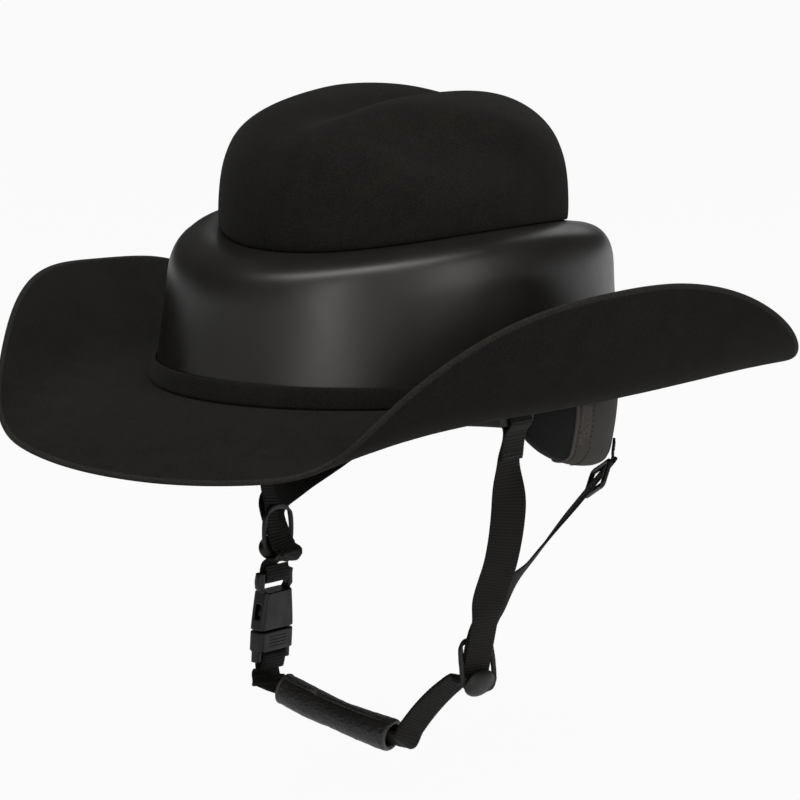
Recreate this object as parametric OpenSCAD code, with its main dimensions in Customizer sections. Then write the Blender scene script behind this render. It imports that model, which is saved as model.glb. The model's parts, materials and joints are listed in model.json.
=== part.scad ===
// Western hat helmet: a hard shell with foam liner and chin harness, dressed with a felt crown and brim.
// Millimetres. +Z up, the hat faces -Y, the wearer's left is +X.
// The origin is the centre of the head opening, in the plane where the shell stands on the brim.

/* [Shell] */
// Half length of the shell at its foot
shell_a = 145; // [138:1:155]
// Half width of the shell at its foot
shell_b = 118; // [112:1:126]
// Wall of the shell
shell_wall = 3.2; // [2.4:0.2:4]
// How far the shoulder lies inside the foot at the front and rear
taper_a = 10; // [6:1:12]
// How far the shoulder lies inside the foot at the sides
taper_b = 7; // [4:1:14]
// Height of the shoulder at the sides
shoulder_z = 80; // [70:1:88]
// Drop of the shoulder at the front
shoulder_dip_front = 12; // [0:1:14]
// Drop of the shoulder at the rear
shoulder_dip_rear = 12; // [0:1:20]
// How far the crown's foot lies inside the foot of the shell, front and rear
crown_in_a = 39; // [34:1:42]
// How far the crown's foot lies inside the foot of the shell at the sides
crown_in_b = 26.5; // [24:0.5:32]
// Rise from the shoulder to the foot of the crown
ledge_rise = 8; // [6:1:14]
// Height of the rounding between the side wall and the ledge
round_h = 34; // [28:1:42]
// How far the shoulder and the crown lie behind the middle of the foot
lean_back = 3; // [0:0.5:6]
// Height of the top of the hard dome
dome_z = 134; // [128:1:138]

/* [Crown] */
// Height of the uncreased felt crown above the origin
crown_z = 158.4; // [156:0.2:164]
// Felt thickness of the crown
crown_felt = 2.6; // [2:0.2:3.4]
// Squareness of the crown's profile
crown_power = 3.1; // [2.2:0.1:3.4]
// Depth of the crease along the top
crease_depth = 14; // [4:1:15]
// Half width of the crease along the top
crease_half_w = 17; // [12:1:24]
// Depth of the dent on the left
dent_left = 12; // [3:1:13]
// Depth of the dent on the right
dent_right = 7; // [3:1:13]

/* [Brim] */
// Felt thickness of the brim
brim_felt = 3.4; // [2.6:0.2:4.4]
// Half width of the flat brim before it is curled
brim_half_w = 218; // [205:1:226]
// Reach of the brim to the front
brim_front = 225; // [212:1:232]
// Reach of the brim to the rear
brim_rear = 243; // [230:1:250]
// Curl of the left side in degrees
curl_left = 76; // [50:1:84]
// Curl of the right side in degrees
curl_right = 40; // [30:1:70]
// How much more the right side curls towards the front, in degrees
curl_right_front = 44; // [0:1:50]
// Half width of the flat middle, where the curl starts
curl_start = 134; // [128:1:142]
// Width over which the curl builds up
curl_run = 40; // [30:1:55]
// Drop of the front rim
front_drop = 28; // [10:1:34]
// Drop of the rear rim
rear_drop = 4; // [0:1:20]

/* [Hat band] */
// Height of the felt band round the foot of the shell
band_h = 12; // [8:1:18]
// Thickness of the felt band
band_t = 2.4; // [1.8:0.2:3.2]

/* [Liner] */
// Half length of the head cavity in the foam
cavity_a = 104; // [100:1:108]
// Half width of the head cavity in the foam
cavity_b = 85; // [81:1:88]
// Height of the top of the head cavity
cavity_z = 114; // [110:1:116]
// Height up to which the cavity wall is upright
cavity_wall_z = 32; // [28:1:38]
// Thickness of the comfort pads
pad_t = 6; // [4:0.5:8]
// Gap behind the pads, which the touch fastener fills
pad_gap = 2; // [1.8:0.1:2.6]
// Height of the sweatband
sweatband_h = 24; // [18:1:26]

/* [Clamp rings] */
// Thickness of the upper ring, inside the shell's foot
ring_upper_t = 3; // [2.4:0.2:4]
// Thickness of the lower ring, under the brim
ring_lower_t = 3; // [2.4:0.2:4]
// Radial width of the rings
ring_w = 15; // [13:1:17]
// Diameter of the clamp rivets
ring_rivet_d = 4; // [3:0.5:5]
// Number of clamp rivets
ring_rivets_n = 10; // [8:2:14]

/* [Webbing] */
// Width of the webbing
web_w = 19; // [16:1:20]
// Thickness of one layer of webbing
web_t = 1.6; // [1.2:0.1:1.8]

/* [Nape pad] */
// Thickness of the nape pad
nape_t = 13; // [10:1:16]
// Depth of the nape pad at the rear
nape_depth = 43; // [36:1:52]
// How far the pad reaches round from the rear, in degrees each side
nape_reach = 94; // [60:1:94]

/* [Adjusters] */
// Width of the strap dividers
divider_w = 26; // [25:1:30]
// Height of the strap dividers
divider_h = 31; // [28:1:36]
// Plate thickness of the strap dividers
divider_t = 2.6; // [2.2:0.2:3]
// Width of the glides at the nape
glide_w = 25; // [24:1:28]
// Height of the glides at the nape
glide_h = 18; // [17:1:22]

/* [Buckle] */
// Width of the buckle
buckle_w = 28; // [26:1:32]
// Thickness of the buckle
buckle_t = 10.4; // [10:0.2:12]
// Length of the socket's body, without its ladder frame
socket_l = 22; // [20:1:26]
// Length of the plug's base
plug_l = 18; // [16:1:22]
// Length of the prongs above the plug's base
prong_l = 17; // [14:1:18]
// Gap between the two halves when they are fastened
buckle_gap = 1; // [0.6:0.2:1.6]

/* [Chin pad] */
// Outer diameter of the chin pad
chin_d = 18; // [17:0.5:20]
// Length of the chin pad
chin_l = 76; // [60:1:80]

/* [Hidden] */

felt_colour = "#1b1b1a";
shell_colour = "#2a2927";
web_colour = "#262524";
plastic_colour = "#1f1f1f";
foam_colour = "#3a3a3c";
pad_colour = "#2e2d2c";

// Points round each closed oval, and the free space kept between parts
steps = 48;
clear = 0.3;

// Vector helpers
function unit(v) = v / norm(v);
function ones(n) = [for (i = [0 : n - 1]) 1];
function total(list) = ones(len(list)) * list;
function mix(a, b, f) = a + (b - a) * f;
function ease(f) = let (q = min(1, max(0, f))) q * q * (3 - 2 * q);
function mean(ring) = total(ring) / len(ring);
function signed_pow(x, p) = sign(x) * pow(abs(x), p);
// Angle 0 is the front, 90 the wearer's left
function oval(a, b, t) = [b * sin(t), -a * cos(t)];

// Closed skin over rings that all have the same number of points. With loop the last ring joins
// the first one, without it each end is closed by a fan.
module skin(rings, loop = false) {
  n = len(rings);
  m = len(rings[0]);
  last = loop ? n - 1 : n - 2;
  walls = [for (i = [0 : last], j = [0 : m - 1])
    let (k = (j + 1) % m, r = ((i + 1) % n) * m)
    each [[i * m + j, r + k, i * m + k], [i * m + j, r + j, r + k]]];
  caps = loop ? [] : [for (j = [0 : m - 1])
    let (k = (j + 1) % m)
    each [[n * m, j, k], [n * m + 1, (n - 1) * m + k, (n - 1) * m + j]]];
  points = [for (r = rings) each r];
  ends = loop ? [] : [mean(rings[0]), mean(rings[n - 1])];
  polyhedron(points = concat(points, ends), faces = concat(walls, caps), convexity = 6);
}

// Shell: the outer surface is given by a level from 0 at the foot through 1 at the shoulder and
// 2 at the foot of the crown to 3 at the top of the dome
crown_a = shell_a - crown_in_a;
crown_b = shell_b - crown_in_b;
round_power = 3;
dome_in = 5;
function dip(t) = pow(cos(t), 2) * (cos(t) > 0 ? shoulder_dip_front : shoulder_dip_rear);
function ledge_h(t) = shoulder_z + ledge_rise - dip(t);
function wall_top(t) = ledge_h(t) - round_h;
function leant(p, z) = [p[0], p[1] + lean_back * min(1, z / shoulder_z), z];
function wall_pt(t, z, off) =
  let (k = z / shoulder_z)
  leant(oval(shell_a - taper_a * k - off, shell_b - taper_b * k - off, t), z);
// The rounding is a quarter of a squared ellipse
function ledge_pt(t, f, off) =
  let (k = wall_top(t) / shoulder_z, g = 1 - pow(cos(f * 90), 2 / round_power),
       p = oval(mix(shell_a - taper_a * k, crown_a - dome_in, g) - off * (1 - g),
                mix(shell_b - taper_b * k, crown_b - dome_in, g) - off * (1 - g), t))
  leant(p, wall_top(t) + (round_h - off) * pow(sin(f * 90), 2 / round_power));
function dome_pt(t, f, off) =
  let (p = oval((crown_a - dome_in - off) * cos(f * 90), (crown_b - dome_in - off) * cos(f * 90), t))
  leant(p, mix(ledge_h(t) - off, dome_z - off, sin(f * 90)));
function level_pt(t, level, off) =
  level <= 1 ? wall_pt(t, wall_top(t) * level, off) :
  level <= 2 ? ledge_pt(t, level - 1, off) : dome_pt(t, level - 2, off);
function ring_at(level, off, n = steps) = [for (j = [0 : n - 1]) level_pt(-j * 360 / n, level, off)];
outer_levels = [2.97, 2.85, 2.65, 2.4, 2.2, 2.05, 2, 1.88, 1.76, 1.62, 1.47, 1.31, 1.15, 1, 0.5, 0];
inner_levels = [0, 0.5, 1, 1.25, 1.5, 1.75, 2.02, 2.3, 2.65, 2.97];

module outer_shell() {
  color(shell_colour)
    skin(concat([for (v = outer_levels) ring_at(v, 0)], [for (v = inner_levels) ring_at(v, shell_wall)]));
}

// Felt crown: a squared dome with a crease along the top and a dent on each side
crown_seat = 0.5;
function crown_raw(t, f, off) =
  let (r = pow(cos(f * 90), 2 / crown_power),
       h = pow(sin(f * 90), 2 / crown_power),
       p = oval((crown_a - off) * r, (crown_b - off) * r, t),
       foot = ledge_h(t) + crown_seat)
  leant(p, foot + (crown_z - off - foot) * h);
crease_end = 78;
dent_centre = [66, -26, 130];
dent_right_back = 34;
dent_size = [36, 55, 21];
dent_tilt = 0.3;
dent_pivot_z = 100;
function crease(p) =
  let (along = p[1] < 0 ? pow(p[1] / crease_end, 4) : pow((p[1] - 4) / (crease_end - 6), 4))
  crease_depth * exp(-pow(abs(p[0]) / crease_half_w, 1.7)) * exp(-along) *
  ease((p[2] - shoulder_z - ledge_rise) / 20);
function dent(p) =
  let (along = p[1] - dent_centre[1] - (p[0] > 0 ? 0 : dent_right_back),
       d = [(abs(p[0]) - dent_centre[0]) / dent_size[0], along / dent_size[1],
            (p[2] - dent_centre[2] + dent_tilt * along) / dent_size[2]])
  (p[0] > 0 ? dent_left : dent_right) * exp(-pow(d * d, 2));
function crown_pt(t, f, off) =
  let (p = crown_raw(t, f, off), inward = unit([0, p[1] * 0.6, dent_pivot_z] - p))
  p + inward * dent(p) - [0, 0, crease(p)];
function crown_ring(f, off) = [for (j = [0 : steps - 1]) crown_pt(-j * 360 / steps, f, off)];
crown_fs = [0.988, 0.965, 0.935, 0.905, 0.87, 0.835, 0.79, 0.74, 0.68, 0.61, 0.54, 0.46, 0.38, 0.3, 0.2, 0.1, 0];
crown_inner_fs = [0, 0.2, 0.38, 0.54, 0.68, 0.79, 0.87, 0.935, 0.965, 0.988];

module felt_crown() {
  color(felt_colour)
    skin(concat([for (f = crown_fs) crown_ring(f, 0)],
                [for (f = crown_inner_fs) crown_ring(f, crown_felt)]));
}

// Brim: a flat oval of felt, curled up about the front to rear line on each side
brim_in_a = shell_a - 8;
brim_in_b = shell_b - 8;
brim_power = 2.12;
curl_slices = 14;
// The curl starts nearer the middle towards the front and rear, and fades out to the rear
start_in_front = 49;
start_in_rear = 31;
start_in_right = 7;
fade_left = 1.15;
fade_right = 4;
function reach(v) = min(1, v < 0 ? -v / brim_front : v / brim_rear);
function curl_from(u, v) =
  curl_start - pow(reach(v), 2) * (v < 0 ? start_in_front : start_in_rear) - (u < 0 ? start_in_right : 0);
function curl_max(u, v) =
  let (w = reach(v), side = u < 0 ? curl_right : curl_left)
  v < 0 ? side + (u < 0 ? curl_right_front * pow(w, 1.5) : 0) :
  side * pow(1 - w * w, u < 0 ? fade_right : fade_left);
function curl_at(u, v, x) = curl_max(u, v) * ease((x - curl_from(u, v)) / curl_run);
// The rim drops beyond this distance from the middle, front and rear
drop_from = 60;
function drop_at(v, f) =
  let (rim = v < 0 ? brim_front : brim_rear)
  (v < 0 ? front_drop : rear_drop) * pow(max(0, abs(v) - drop_from) / (rim - drop_from), 2) * f * (2 - f);
function curled(u, v, f, depth) =
  let (slices = [for (k = [0.5 : curl_slices]) curl_at(u, v, abs(u) * k / curl_slices)],
       step = abs(u) / curl_slices,
       along = total([for (a = slices) cos(a)]) * step,
       up = total([for (a = slices) sin(a)]) * step,
       end = curl_at(u, v, abs(u)))
  [sign(u) * (along + depth * sin(end)), v, up - drop_at(v, f) - depth * cos(end)];
brim_steps = 72;
// Share of the brim, next to the shell, that lies flat between the clamp rings
brim_flat = 0.09;
function brim_pt(t, f, depth) =
  let (inner = oval(brim_in_a, brim_in_b, t),
       av = cos(t) > 0 ? brim_front : brim_rear,
       outer = [brim_half_w * signed_pow(sin(t), 2 / brim_power), -av * signed_pow(cos(t), 2 / brim_power)],
       p = mix(inner, outer, f))
  curled(p[0], p[1], max(0, (f - brim_flat) / (1 - brim_flat)), depth);
function brim_ring(f, depth) = [for (j = [0 : brim_steps - 1]) brim_pt(-j * 360 / brim_steps, f, depth)];

module brim() {
  fs = [0, brim_flat, 0.22, 0.33, 0.43, 0.53, 0.64, 0.76, 0.88, 0.985];
  last = len(fs) - 1;
  color(felt_colour)
    skin(concat([for (f = fs) brim_ring(f, 0)], [brim_ring(1, brim_felt / 2)],
                [for (i = [0 : last]) brim_ring(fs[last - i], brim_felt)]), loop = true);
}

// Hat band, wrapped round the foot of the shell
module hat_band() {
  function band_ring(h, off) = [for (j = [0 : steps - 1]) wall_pt(-j * 360 / steps, h, -off)];
  color(felt_colour)
    skin([band_ring(clear / 2, clear), band_ring(band_h, clear), band_ring(band_h, clear + band_t * 0.8),
          band_ring(band_h * 0.85, clear + band_t), band_ring(band_h * 0.15, clear + band_t),
          band_ring(clear / 2, clear + band_t * 0.8)], loop = true);
}

// Foam liner between the shell and the head
liner_foot_z = ring_upper_t + clear;
liner_steps = 40;
function cavity_pt(t, f, off) =
  let (p = oval((cavity_a - off) * cos(f * 90), (cavity_b - off) * cos(f * 90), t))
  [p[0], p[1], cavity_wall_z + (cavity_z - off - cavity_wall_z) * sin(f * 90)];
function cavity_ring(f, off) = [for (j = [0 : liner_steps - 1]) cavity_pt(-j * 360 / liner_steps, f, off)];

module foam_liner() {
  gap = shell_wall + 2 * clear;
  foot = [for (j = [0 : liner_steps - 1]) wall_pt(-j * 360 / liner_steps, liner_foot_z, gap)];
  inner_foot = [for (j = [0 : liner_steps - 1])
    let (p = oval(cavity_a, cavity_b, -j * 360 / liner_steps)) [p[0], p[1], liner_foot_z]];
  color(foam_colour)
    skin(concat([for (v = [2.95, 2.65, 2.3, 2.02, 1.75, 1.5, 1.25, 1, 0.5]) ring_at(v, gap, liner_steps)],
                [foot, inner_foot], [for (f = [0, 0.1, 0.2, 0.3, 0.42, 0.54, 0.68, 0.82, 0.96]) cavity_ring(f, 0)]));
}

// Flat oval outline as a polygon
module oval_plate(a, b) {
  polygon([for (j = [0 : 71]) oval(a, b, j * 5)]);
}

// Clamp rings: the brim's inner margin is held between them, and rivets join them
ring_out = shell_wall + 3 * clear;
rivet_line = 11;
module at_rivets() {
  for (k = [0 : ring_rivets_n - 1]) {
    p = oval(shell_a - ring_out - rivet_line, shell_b - ring_out - rivet_line, (k + 0.5) * 360 / ring_rivets_n);
    translate([p[0], p[1], 0]) children();
  }
}

module clamp_ring_upper() {
  color(plastic_colour) difference() {
    linear_extrude(ring_upper_t) oval_plate(shell_a - ring_out, shell_b - ring_out);
    translate([0, 0, -1]) linear_extrude(ring_upper_t + 2)
      oval_plate(shell_a - ring_out - ring_w, shell_b - ring_out - ring_w);
    at_rivets() translate([0, 0, -1]) cylinder(d = ring_rivet_d, h = ring_upper_t + 2, $fn = 32);
  }
}

// Hanger lugs that carry the front straps
lug_y = -20;
lug_w = web_w + 6;
lug_t = 3;
lug_bar = 3;
lug_slot = 4.4;
lug_x = shell_b - ring_out - 8;
lug_h = 9;
ring_low_z = -brim_felt - ring_lower_t;
module hanger_lug(side) {
  translate([side * lug_x - lug_t / 2, lug_y - lug_w / 2, ring_low_z - lug_h]) difference() {
    cube([lug_t, lug_w, lug_h + 1]);
    translate([-1, 3 - clear, lug_bar]) cube([lug_t + 2, lug_w - 6 + 2 * clear, lug_slot]);
  }
}

module clamp_ring_lower() {
  collar_h = brim_felt - clear / 3;
  color(plastic_colour) difference() {
    union() {
      translate([0, 0, ring_low_z]) linear_extrude(ring_lower_t) oval_plate(shell_a - 1, shell_b - 1);
      translate([0, 0, -brim_felt - 0.01]) linear_extrude(collar_h)
        oval_plate(brim_in_a - clear - 0.4, brim_in_b - clear - 0.4);
      for (side = [-1, 1]) hanger_lug(side);
    }
    translate([0, 0, ring_low_z - 1]) linear_extrude(brim_felt + ring_lower_t + 2)
      oval_plate(shell_a - ring_out - ring_w, shell_b - ring_out - ring_w);
    at_rivets() translate([0, 0, ring_low_z - 1])
      cylinder(d = ring_rivet_d, h = brim_felt + ring_lower_t + 2, $fn = 32);
  }
}

head_h = 1.4;
module ring_rivets() {
  shank_d = ring_rivet_d - 0.1;
  head_d = ring_rivet_d * 1.8;
  color("#4a4a4c") at_rivets() {
    translate([0, 0, ring_low_z - head_h]) cylinder(d = head_d, h = head_h, $fn = 32);
    translate([0, 0, ring_low_z - head_h / 2])
      cylinder(d = shank_d, h = ring_upper_t - ring_low_z + head_h / 2, $fn = 32);
  }
}

// Sweatband on the upright wall of the cavity
module sweatband() {
  lift = liner_foot_z + 1;
  band_wall = 2;
  color("#211f1e") translate([0, 0, lift]) difference() {
    linear_extrude(sweatband_h) oval_plate(cavity_a - 2 * clear, cavity_b - 2 * clear);
    translate([0, 0, -1]) linear_extrude(sweatband_h + 2)
      oval_plate(cavity_a - 2 * clear - band_wall, cavity_b - 2 * clear - band_wall);
  }
}

// Comfort pads: pillows that follow the cavity between two angles and two levels
function pillow_ring(t, f0, f1, t_edge, n = 12) =
  [for (k = [0 : n - 1])
    let (a = -k * 360 / n,
         f = mix(f0, f1, 0.5 + 0.5 * signed_pow(cos(a), 0.6)),
         d = pad_gap + pad_t * t_edge * (0.5 - 0.5 * signed_pow(sin(a), 0.7)))
    cavity_pt(t, f, d)];
module pillow(t0, t1, f0, f1, n = 12) {
  color(pad_colour)
    skin([for (i = [0 : n])
      let (e = i / n, swell = 0.25 + 0.75 * pow(sin(e * 180), 0.4))
      pillow_ring(mix(t0, t1, e), mix((f0 + f1) / 2, f0, swell), mix((f0 + f1) / 2, f1, swell), swell)]);
}
module front_pad() { pillow(34, -34, 0.05, 0.36); }
module rear_pad() { pillow(214, 146, 0.05, 0.36); }
module side_pad_left() { pillow(126, 54, 0.05, 0.36); }
module side_pad_right() { pillow(306, 234, 0.05, 0.36); }

// Crown pad: a thin oval cushion that follows the top of the cavity
module crown_pad() {
  top_fs = [0.97, 0.9, 0.8, 0.7, 0.62];
  low_fs = [0.62, 0.72, 0.85, 0.97];
  seat = 0.9;
  function pad_ring(f, off) = [for (j = [0 : 31]) cavity_pt(-j * 360 / 32, f, off)];
  color(pad_colour)
    skin(concat([for (f = top_fs) pad_ring(f, seat)], [pad_ring(0.6, seat + pad_t / 2)],
                [for (f = low_fs) pad_ring(f, seat + pad_t)]));
}

// Touch fastener dots between the pads and the foam
module hook_loop_dots() {
  dot_t = 0.6;
  dot_d = 11;
  depth = pad_gap * 0.62;
  color("#3d3d3d") for (t = [-18, 18, 72, 108, 162, 198, 252, 288]) {
    p = cavity_pt(t, 0.2, depth);
    e = cavity_pt(t, 0.24, depth);
    lean = atan2(norm([e[0] - p[0], e[1] - p[1]]), e[2] - p[2]);
    turn = atan2(p[1] * cavity_b * cavity_b, p[0] * cavity_a * cavity_a);
    translate(p) rotate([0, 0, turn]) rotate([0, 90 - lean, 0])
      translate([0, 0, -dot_t / 2]) cylinder(d = dot_d, h = dot_t, $fn = 32);
  }
}

// Nape pad: a padded skirt under the rear half of the ring, with wings that rise towards the front
nape_top = ring_low_z - head_h - clear;
nape_steps = 36;
nape_lean = 5;
wing_rise = 0.12;
wing_end_rise = 0.53;
wing_tuck = 18;
function nape_section(t, grow) =
  let (wing = abs(t - 180) / nape_reach, n = 16,
       deep = nape_depth * (1 - wing_rise * pow(wing, 2) - wing_end_rise * pow(wing, 12)),
       thick = nape_t * (1 - 0.5 * pow(wing, 6)))
  [for (k = [0 : n - 1])
    let (a = k * 360 / n,
         h = 0.5 + 0.5 * signed_pow(sin(a), 0.42),
         d = 0.5 - 0.5 * signed_pow(cos(a), 0.52),
         off = nape_lean * pow(1 - h, 1.5) + thick * grow * d + wing_tuck * pow(wing, 8),
         p = oval(shell_a - off, shell_b - off, t))
    [p[0], p[1], nape_top - deep * (1 - mix(0.5, h, grow))]];
module nape_pad() {
  color(pad_colour)
    skin([for (i = [0 : nape_steps])
      let (e = sin(90 * (i / nape_steps * 2 - 1)), grow = 0.35 + 0.65 * sqrt(1 - pow(abs(e), 14)))
      nape_section(180 - e * nape_reach, grow)]);
}

// Webbing: a flat ribbon along a path. Each station is [point, half width, turn, half thickness].
// The turn is an angle about Z from +Y, or a vector along the width.
function wide_dir(turn) = is_list(turn) ? turn : [sin(turn), cos(turn), 0];
function tangent(path, i) =
  let (last = len(path) - 1)
  unit(path[min(last, i + 1)][0] - path[max(0, i - 1)][0]);
function ribbon_ring(path, i) =
  let (s = path[i], d = tangent(path, i), w0 = wide_dir(s[2]), w = unit(w0 - d * (w0 * d)),
       n = cross(w, d), hw = s[1], ht = s[3])
  [for (c = [[-1, 1], [1, 1], [1, -1], [-1, -1]]) s[0] + w * c[0] * hw + n * c[1] * ht];
module ribbon(path) {
  color(web_colour) skin([for (i = [0 : len(path) - 1]) ribbon_ring(path, i)]);
}
function bend(a, b, c, n = 5) = [for (i = [0 : n]) let (f = i / n) mix(mix(a, b, f), mix(b, c, f), f)];
function station(p, turn = 0, hw = web_w / 2, ht = web_t / 2) = [p, hw, turn, ht];
function run(points, turn_a, turn_b) =
  [for (i = [0 : len(points) - 1]) station(points[i], mix(turn_a, turn_b, i / (len(points) - 1)))];

// Turns a vector by the lean of a strap, in the plane of X and Z
function leaned(v, lean) = [v[0] * cos(lean) + v[2] * sin(lean), v[1], v[2] * cos(lean) - v[0] * sin(lean)];

// Where the two straps of each side meet in a divider, and how the webbing lies there
div_left = [78, -17, -150.4];
div_right = [-68, -16, -95];
spin_left = 10;
spin_right = 0;
below_left = 9;
below_right = 14;
bar_z = ring_low_z - lug_h + lug_bar / 2;
function hang_at(side) = [side * lug_x, lug_y, bar_z];
function lean_to(top, low) = atan2(top[0] - low[0], top[2] - low[2]);
lean_left = lean_to(hang_at(1), div_left);
lean_right = lean_to(hang_at(-1), div_right);

// A strap's loop round a bar: from the tail on one face, over the bar, to the run on the other
bar_loop_r = norm([lug_bar, lug_t]) / 2 + clear + web_t / 2;
sewn_l = 22;
layer = web_t / 2 + 0.2;
function bar_loop(centre, up, face, r, from = -15, to = 195, n = 8) =
  [for (k = [0 : n]) let (a = mix(from, to, k / n)) centre + r * (face * cos(a) + up * sin(a))];
hinge_gap = 1.9;
twist_l = 14;
hinge_at = div_left - leaned([0, 0, below_left + hinge_gap], lean_left);
// over is 1 where the front strap is the outer layer in the divider, and -1 where it is the inner one
function front_run(div, lean, spin, side, over, below, mid_turn, flat_to, bow = 0) =
  let (top = hang_at(side), up = leaned([0, 0, 1], lean), face = side * leaned([1, 0, 0], lean),
       deep = side * over * leaned([cos(spin), -sin(spin), 0], lean))
  concat(
    run(concat([top - up * sewn_l + face * layer], bar_loop(top, up, face, bar_loop_r),
               [top - up * sewn_l - face * layer]), 0, 0),
    [station(mix(top - up * sewn_l, div + up * flat_to, 0.3) + [side * bow * 0.9, 0, 0], mid_turn),
     station(mix(top - up * sewn_l, div + up * flat_to, 0.62) + [side * bow, 0, 0], mid_turn * 0.85),
     station(div + up * (flat_to + twist_l) + deep * layer, mix(mid_turn, spin, 0.3)),
     station(div + up * flat_to + deep * layer, spin), station(div - up * below + deep * layer, spin)]);
module front_strap_left() { ribbon(front_run(div_left, lean_left, spin_left, 1, 1, below_left, 44, 22, 5)); }

// Nape corners, where the rear straps are sewn to the outside of the pad
nape_corner_t = 131;
pad_low_z = nape_top - nape_depth;
function nape_point(side, z, off) =
  let (p = oval(shell_a - off, shell_b - off, nape_corner_t)) [side * p[0], p[1], z];
nape_turn = 36;
glide_zone = 36;
join_left = 20;
join_right = 14;
join_l = 14;
function rear_start(side) = nape_point(side, pad_low_z - 3, 3.6);
function rear_up(div, side) = unit(rear_start(side) - div - [0, 0, side > 0 ? join_left : join_right]);
function rear_run(div, lean, spin, side, over, below, join_up) =
  let (up = leaned([0, 0, 1], lean), deep = side * over * leaned([cos(spin), -sin(spin), 0], lean),
       s = rear_start(side), back = rear_up(div, side), turn = -side * nape_turn,
       join = div + up * join_up + back * join_l - deep * (layer + (over > 0 ? 1.5 : 3)),
       low = div + up * join_up * 0.6 - deep * layer,
       joined = bend(join, div + up * (join_up - 2) - deep * layer, low), n = len(joined) - 1,
       wide_a = cross(back, deep), wide_b = cross(up, deep))
  concat(
    [station(nape_point(side, pad_low_z + 9, 2.6), turn), station(nape_point(side, pad_low_z + 4, 3.1), turn),
     station(s, turn), station(s - back * 4, turn), station(s - back * glide_zone, turn)],
    [station(mix(s - back * glide_zone, join, 0.6), mix(wide_dir(turn), wide_a, 0.6))],
    [for (i = [0 : n]) station(joined[i], mix(wide_a, wide_b, i / n))],
    [station(div - up * below - deep * layer, wide_b)]);
module rear_strap_left() {
  ribbon(rear_run(div_left, lean_left, spin_left, 1, 1, below_left, join_left));
}
module rear_strap_right() {
  ribbon(rear_run(div_right, lean_right, spin_right, -1, -1, below_right, join_right));
}

// A plate that leans across a straight strap: the strap passes behind its lower part and over its
// top bar, so it slides along the strap. Local Z runs up the strap and local X points outwards.
module rounded_rect(w, h, r) {
  square([w - 2 * r, h], center = true);
  square([w, h - 2 * r], center = true);
  for (i = [-1, 1], j = [-1, 1]) translate([i * (w / 2 - r), j * (h / 2 - r)]) circle(r, $fn = 48);
}
module leaning_plate(w, h, t, r, tilt, stack_t, rise) {
  half_window = (stack_t / 2 + 0.45 + t / 2 / cos(tilt)) / sin(tilt);
  color(plastic_colour) rotate([0, -tilt, 0]) translate([-t / 2, 0, -rise]) rotate([90, 0, 90])
    linear_extrude(t) difference() {
      rounded_rect(w, h, r);
      translate([0, rise]) square([web_w + 1.4, 2 * half_window], center = true);
    }
}
module place_up(at, up, wide) {
  polar = acos(up[2]);
  azimuth = atan2(up[1], up[0]);
  x_axis = [cos(polar) * cos(azimuth), cos(polar) * sin(azimuth), -sin(polar)];
  y_axis = [-sin(azimuth), cos(azimuth), 0];
  translate(at) rotate([0, polar, azimuth]) rotate([0, 0, -atan2(wide * x_axis, wide * y_axis)]) children();
}
function square_to(w, up) = unit(w - up * (w * up));

divider_tilt = 24;
module divider(div, lean, spin, side) {
  translate(div) rotate([0, lean, 0]) rotate([0, 0, -spin]) mirror([side > 0 ? 0 : 1, 0, 0])
    leaning_plate(divider_w, divider_h, divider_t, 7, divider_tilt, 2 * layer + web_t, 3);
}
module divider_left() { divider(div_left, lean_left, spin_left, 1); }
module divider_right() { divider(div_right, lean_right, spin_right, -1); }

glide_down = 14.4;
module glide(div, side) {
  up = rear_up(div, side);
  place_up(rear_start(side) - up * glide_down, up, square_to(wide_dir(-side * nape_turn), up))
    mirror([side > 0 ? 0 : 1, 0, 0]) leaning_plate(glide_w, glide_h, 2, 3, 20, web_t, 0);
}
module nape_glide_left() { glide(div_left, 1); }
module nape_glide_right() { glide(div_right, -1); }

// Side release buckle. Its local origin is the middle of the socket's mouth, local Z runs up the
// strap, local Y is the width. It leans so that the plug leaves along the swing of the chin strap.
buckle_at = [-67, -22, -153];
buckle_lean = atan2(buckle_at[2] - hinge_at[2], hinge_at[0] - buckle_at[0]);
buckle_up = leaned([0, 0, 1], buckle_lean);
module at_buckle() {
  translate(buckle_at) rotate([0, buckle_lean, 0]) children();
}
buckle_wall_x = 1.6;
buckle_wall_y = 2.4;
bar_r = 1.8;
ear_t = (buckle_w - web_w - 1.4) / 2;
web_loop_r = bar_r + clear + web_t / 2;
socket_bar_z = socket_l + 8;
ladder_top = socket_bar_z + bar_r + 1.4;
plug_bar_z = -buckle_gap - plug_l + bar_r + 0.2;
module bar_across(z) {
  translate([0, -buckle_w / 2 + ear_t / 2, z]) rotate([-90, 0, 0]) cylinder(r = bar_r, h = buckle_w - ear_t, $fn = 32);
}
module buckle_block(z0, z1, t = buckle_t) {
  translate([0, 0, z0]) linear_extrude(z1 - z0) rounded_rect(t, buckle_w, 2.8);
}
module ears(z0, z1) {
  for (j = [-1, 1]) translate([0, j * (buckle_w / 2 - ear_t / 2), z0])
    linear_extrude(z1 - z0) rounded_rect(2 * bar_r + 2, ear_t, 1.2);
}
prong_t = 3;
window_t = prong_t + 1.4;
module buckle_socket() {
  cavity_l = socket_l - 3;
  color(plastic_colour) at_buckle() {
    difference() {
      union() {
        buckle_block(0, socket_l);
        ears(socket_l - 1, ladder_top);
      }
      translate([-buckle_t / 2 + buckle_wall_x, -buckle_w / 2 + buckle_wall_y, -1])
        cube([buckle_t - 2 * buckle_wall_x, buckle_w - 2 * buckle_wall_y, cavity_l + 1]);
      translate([-window_t / 2, -buckle_w, socket_l * 0.3]) cube([window_t, 2 * buckle_w, socket_l * 0.38]);
    }
    bar_across(socket_bar_z);
  }
}

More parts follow.
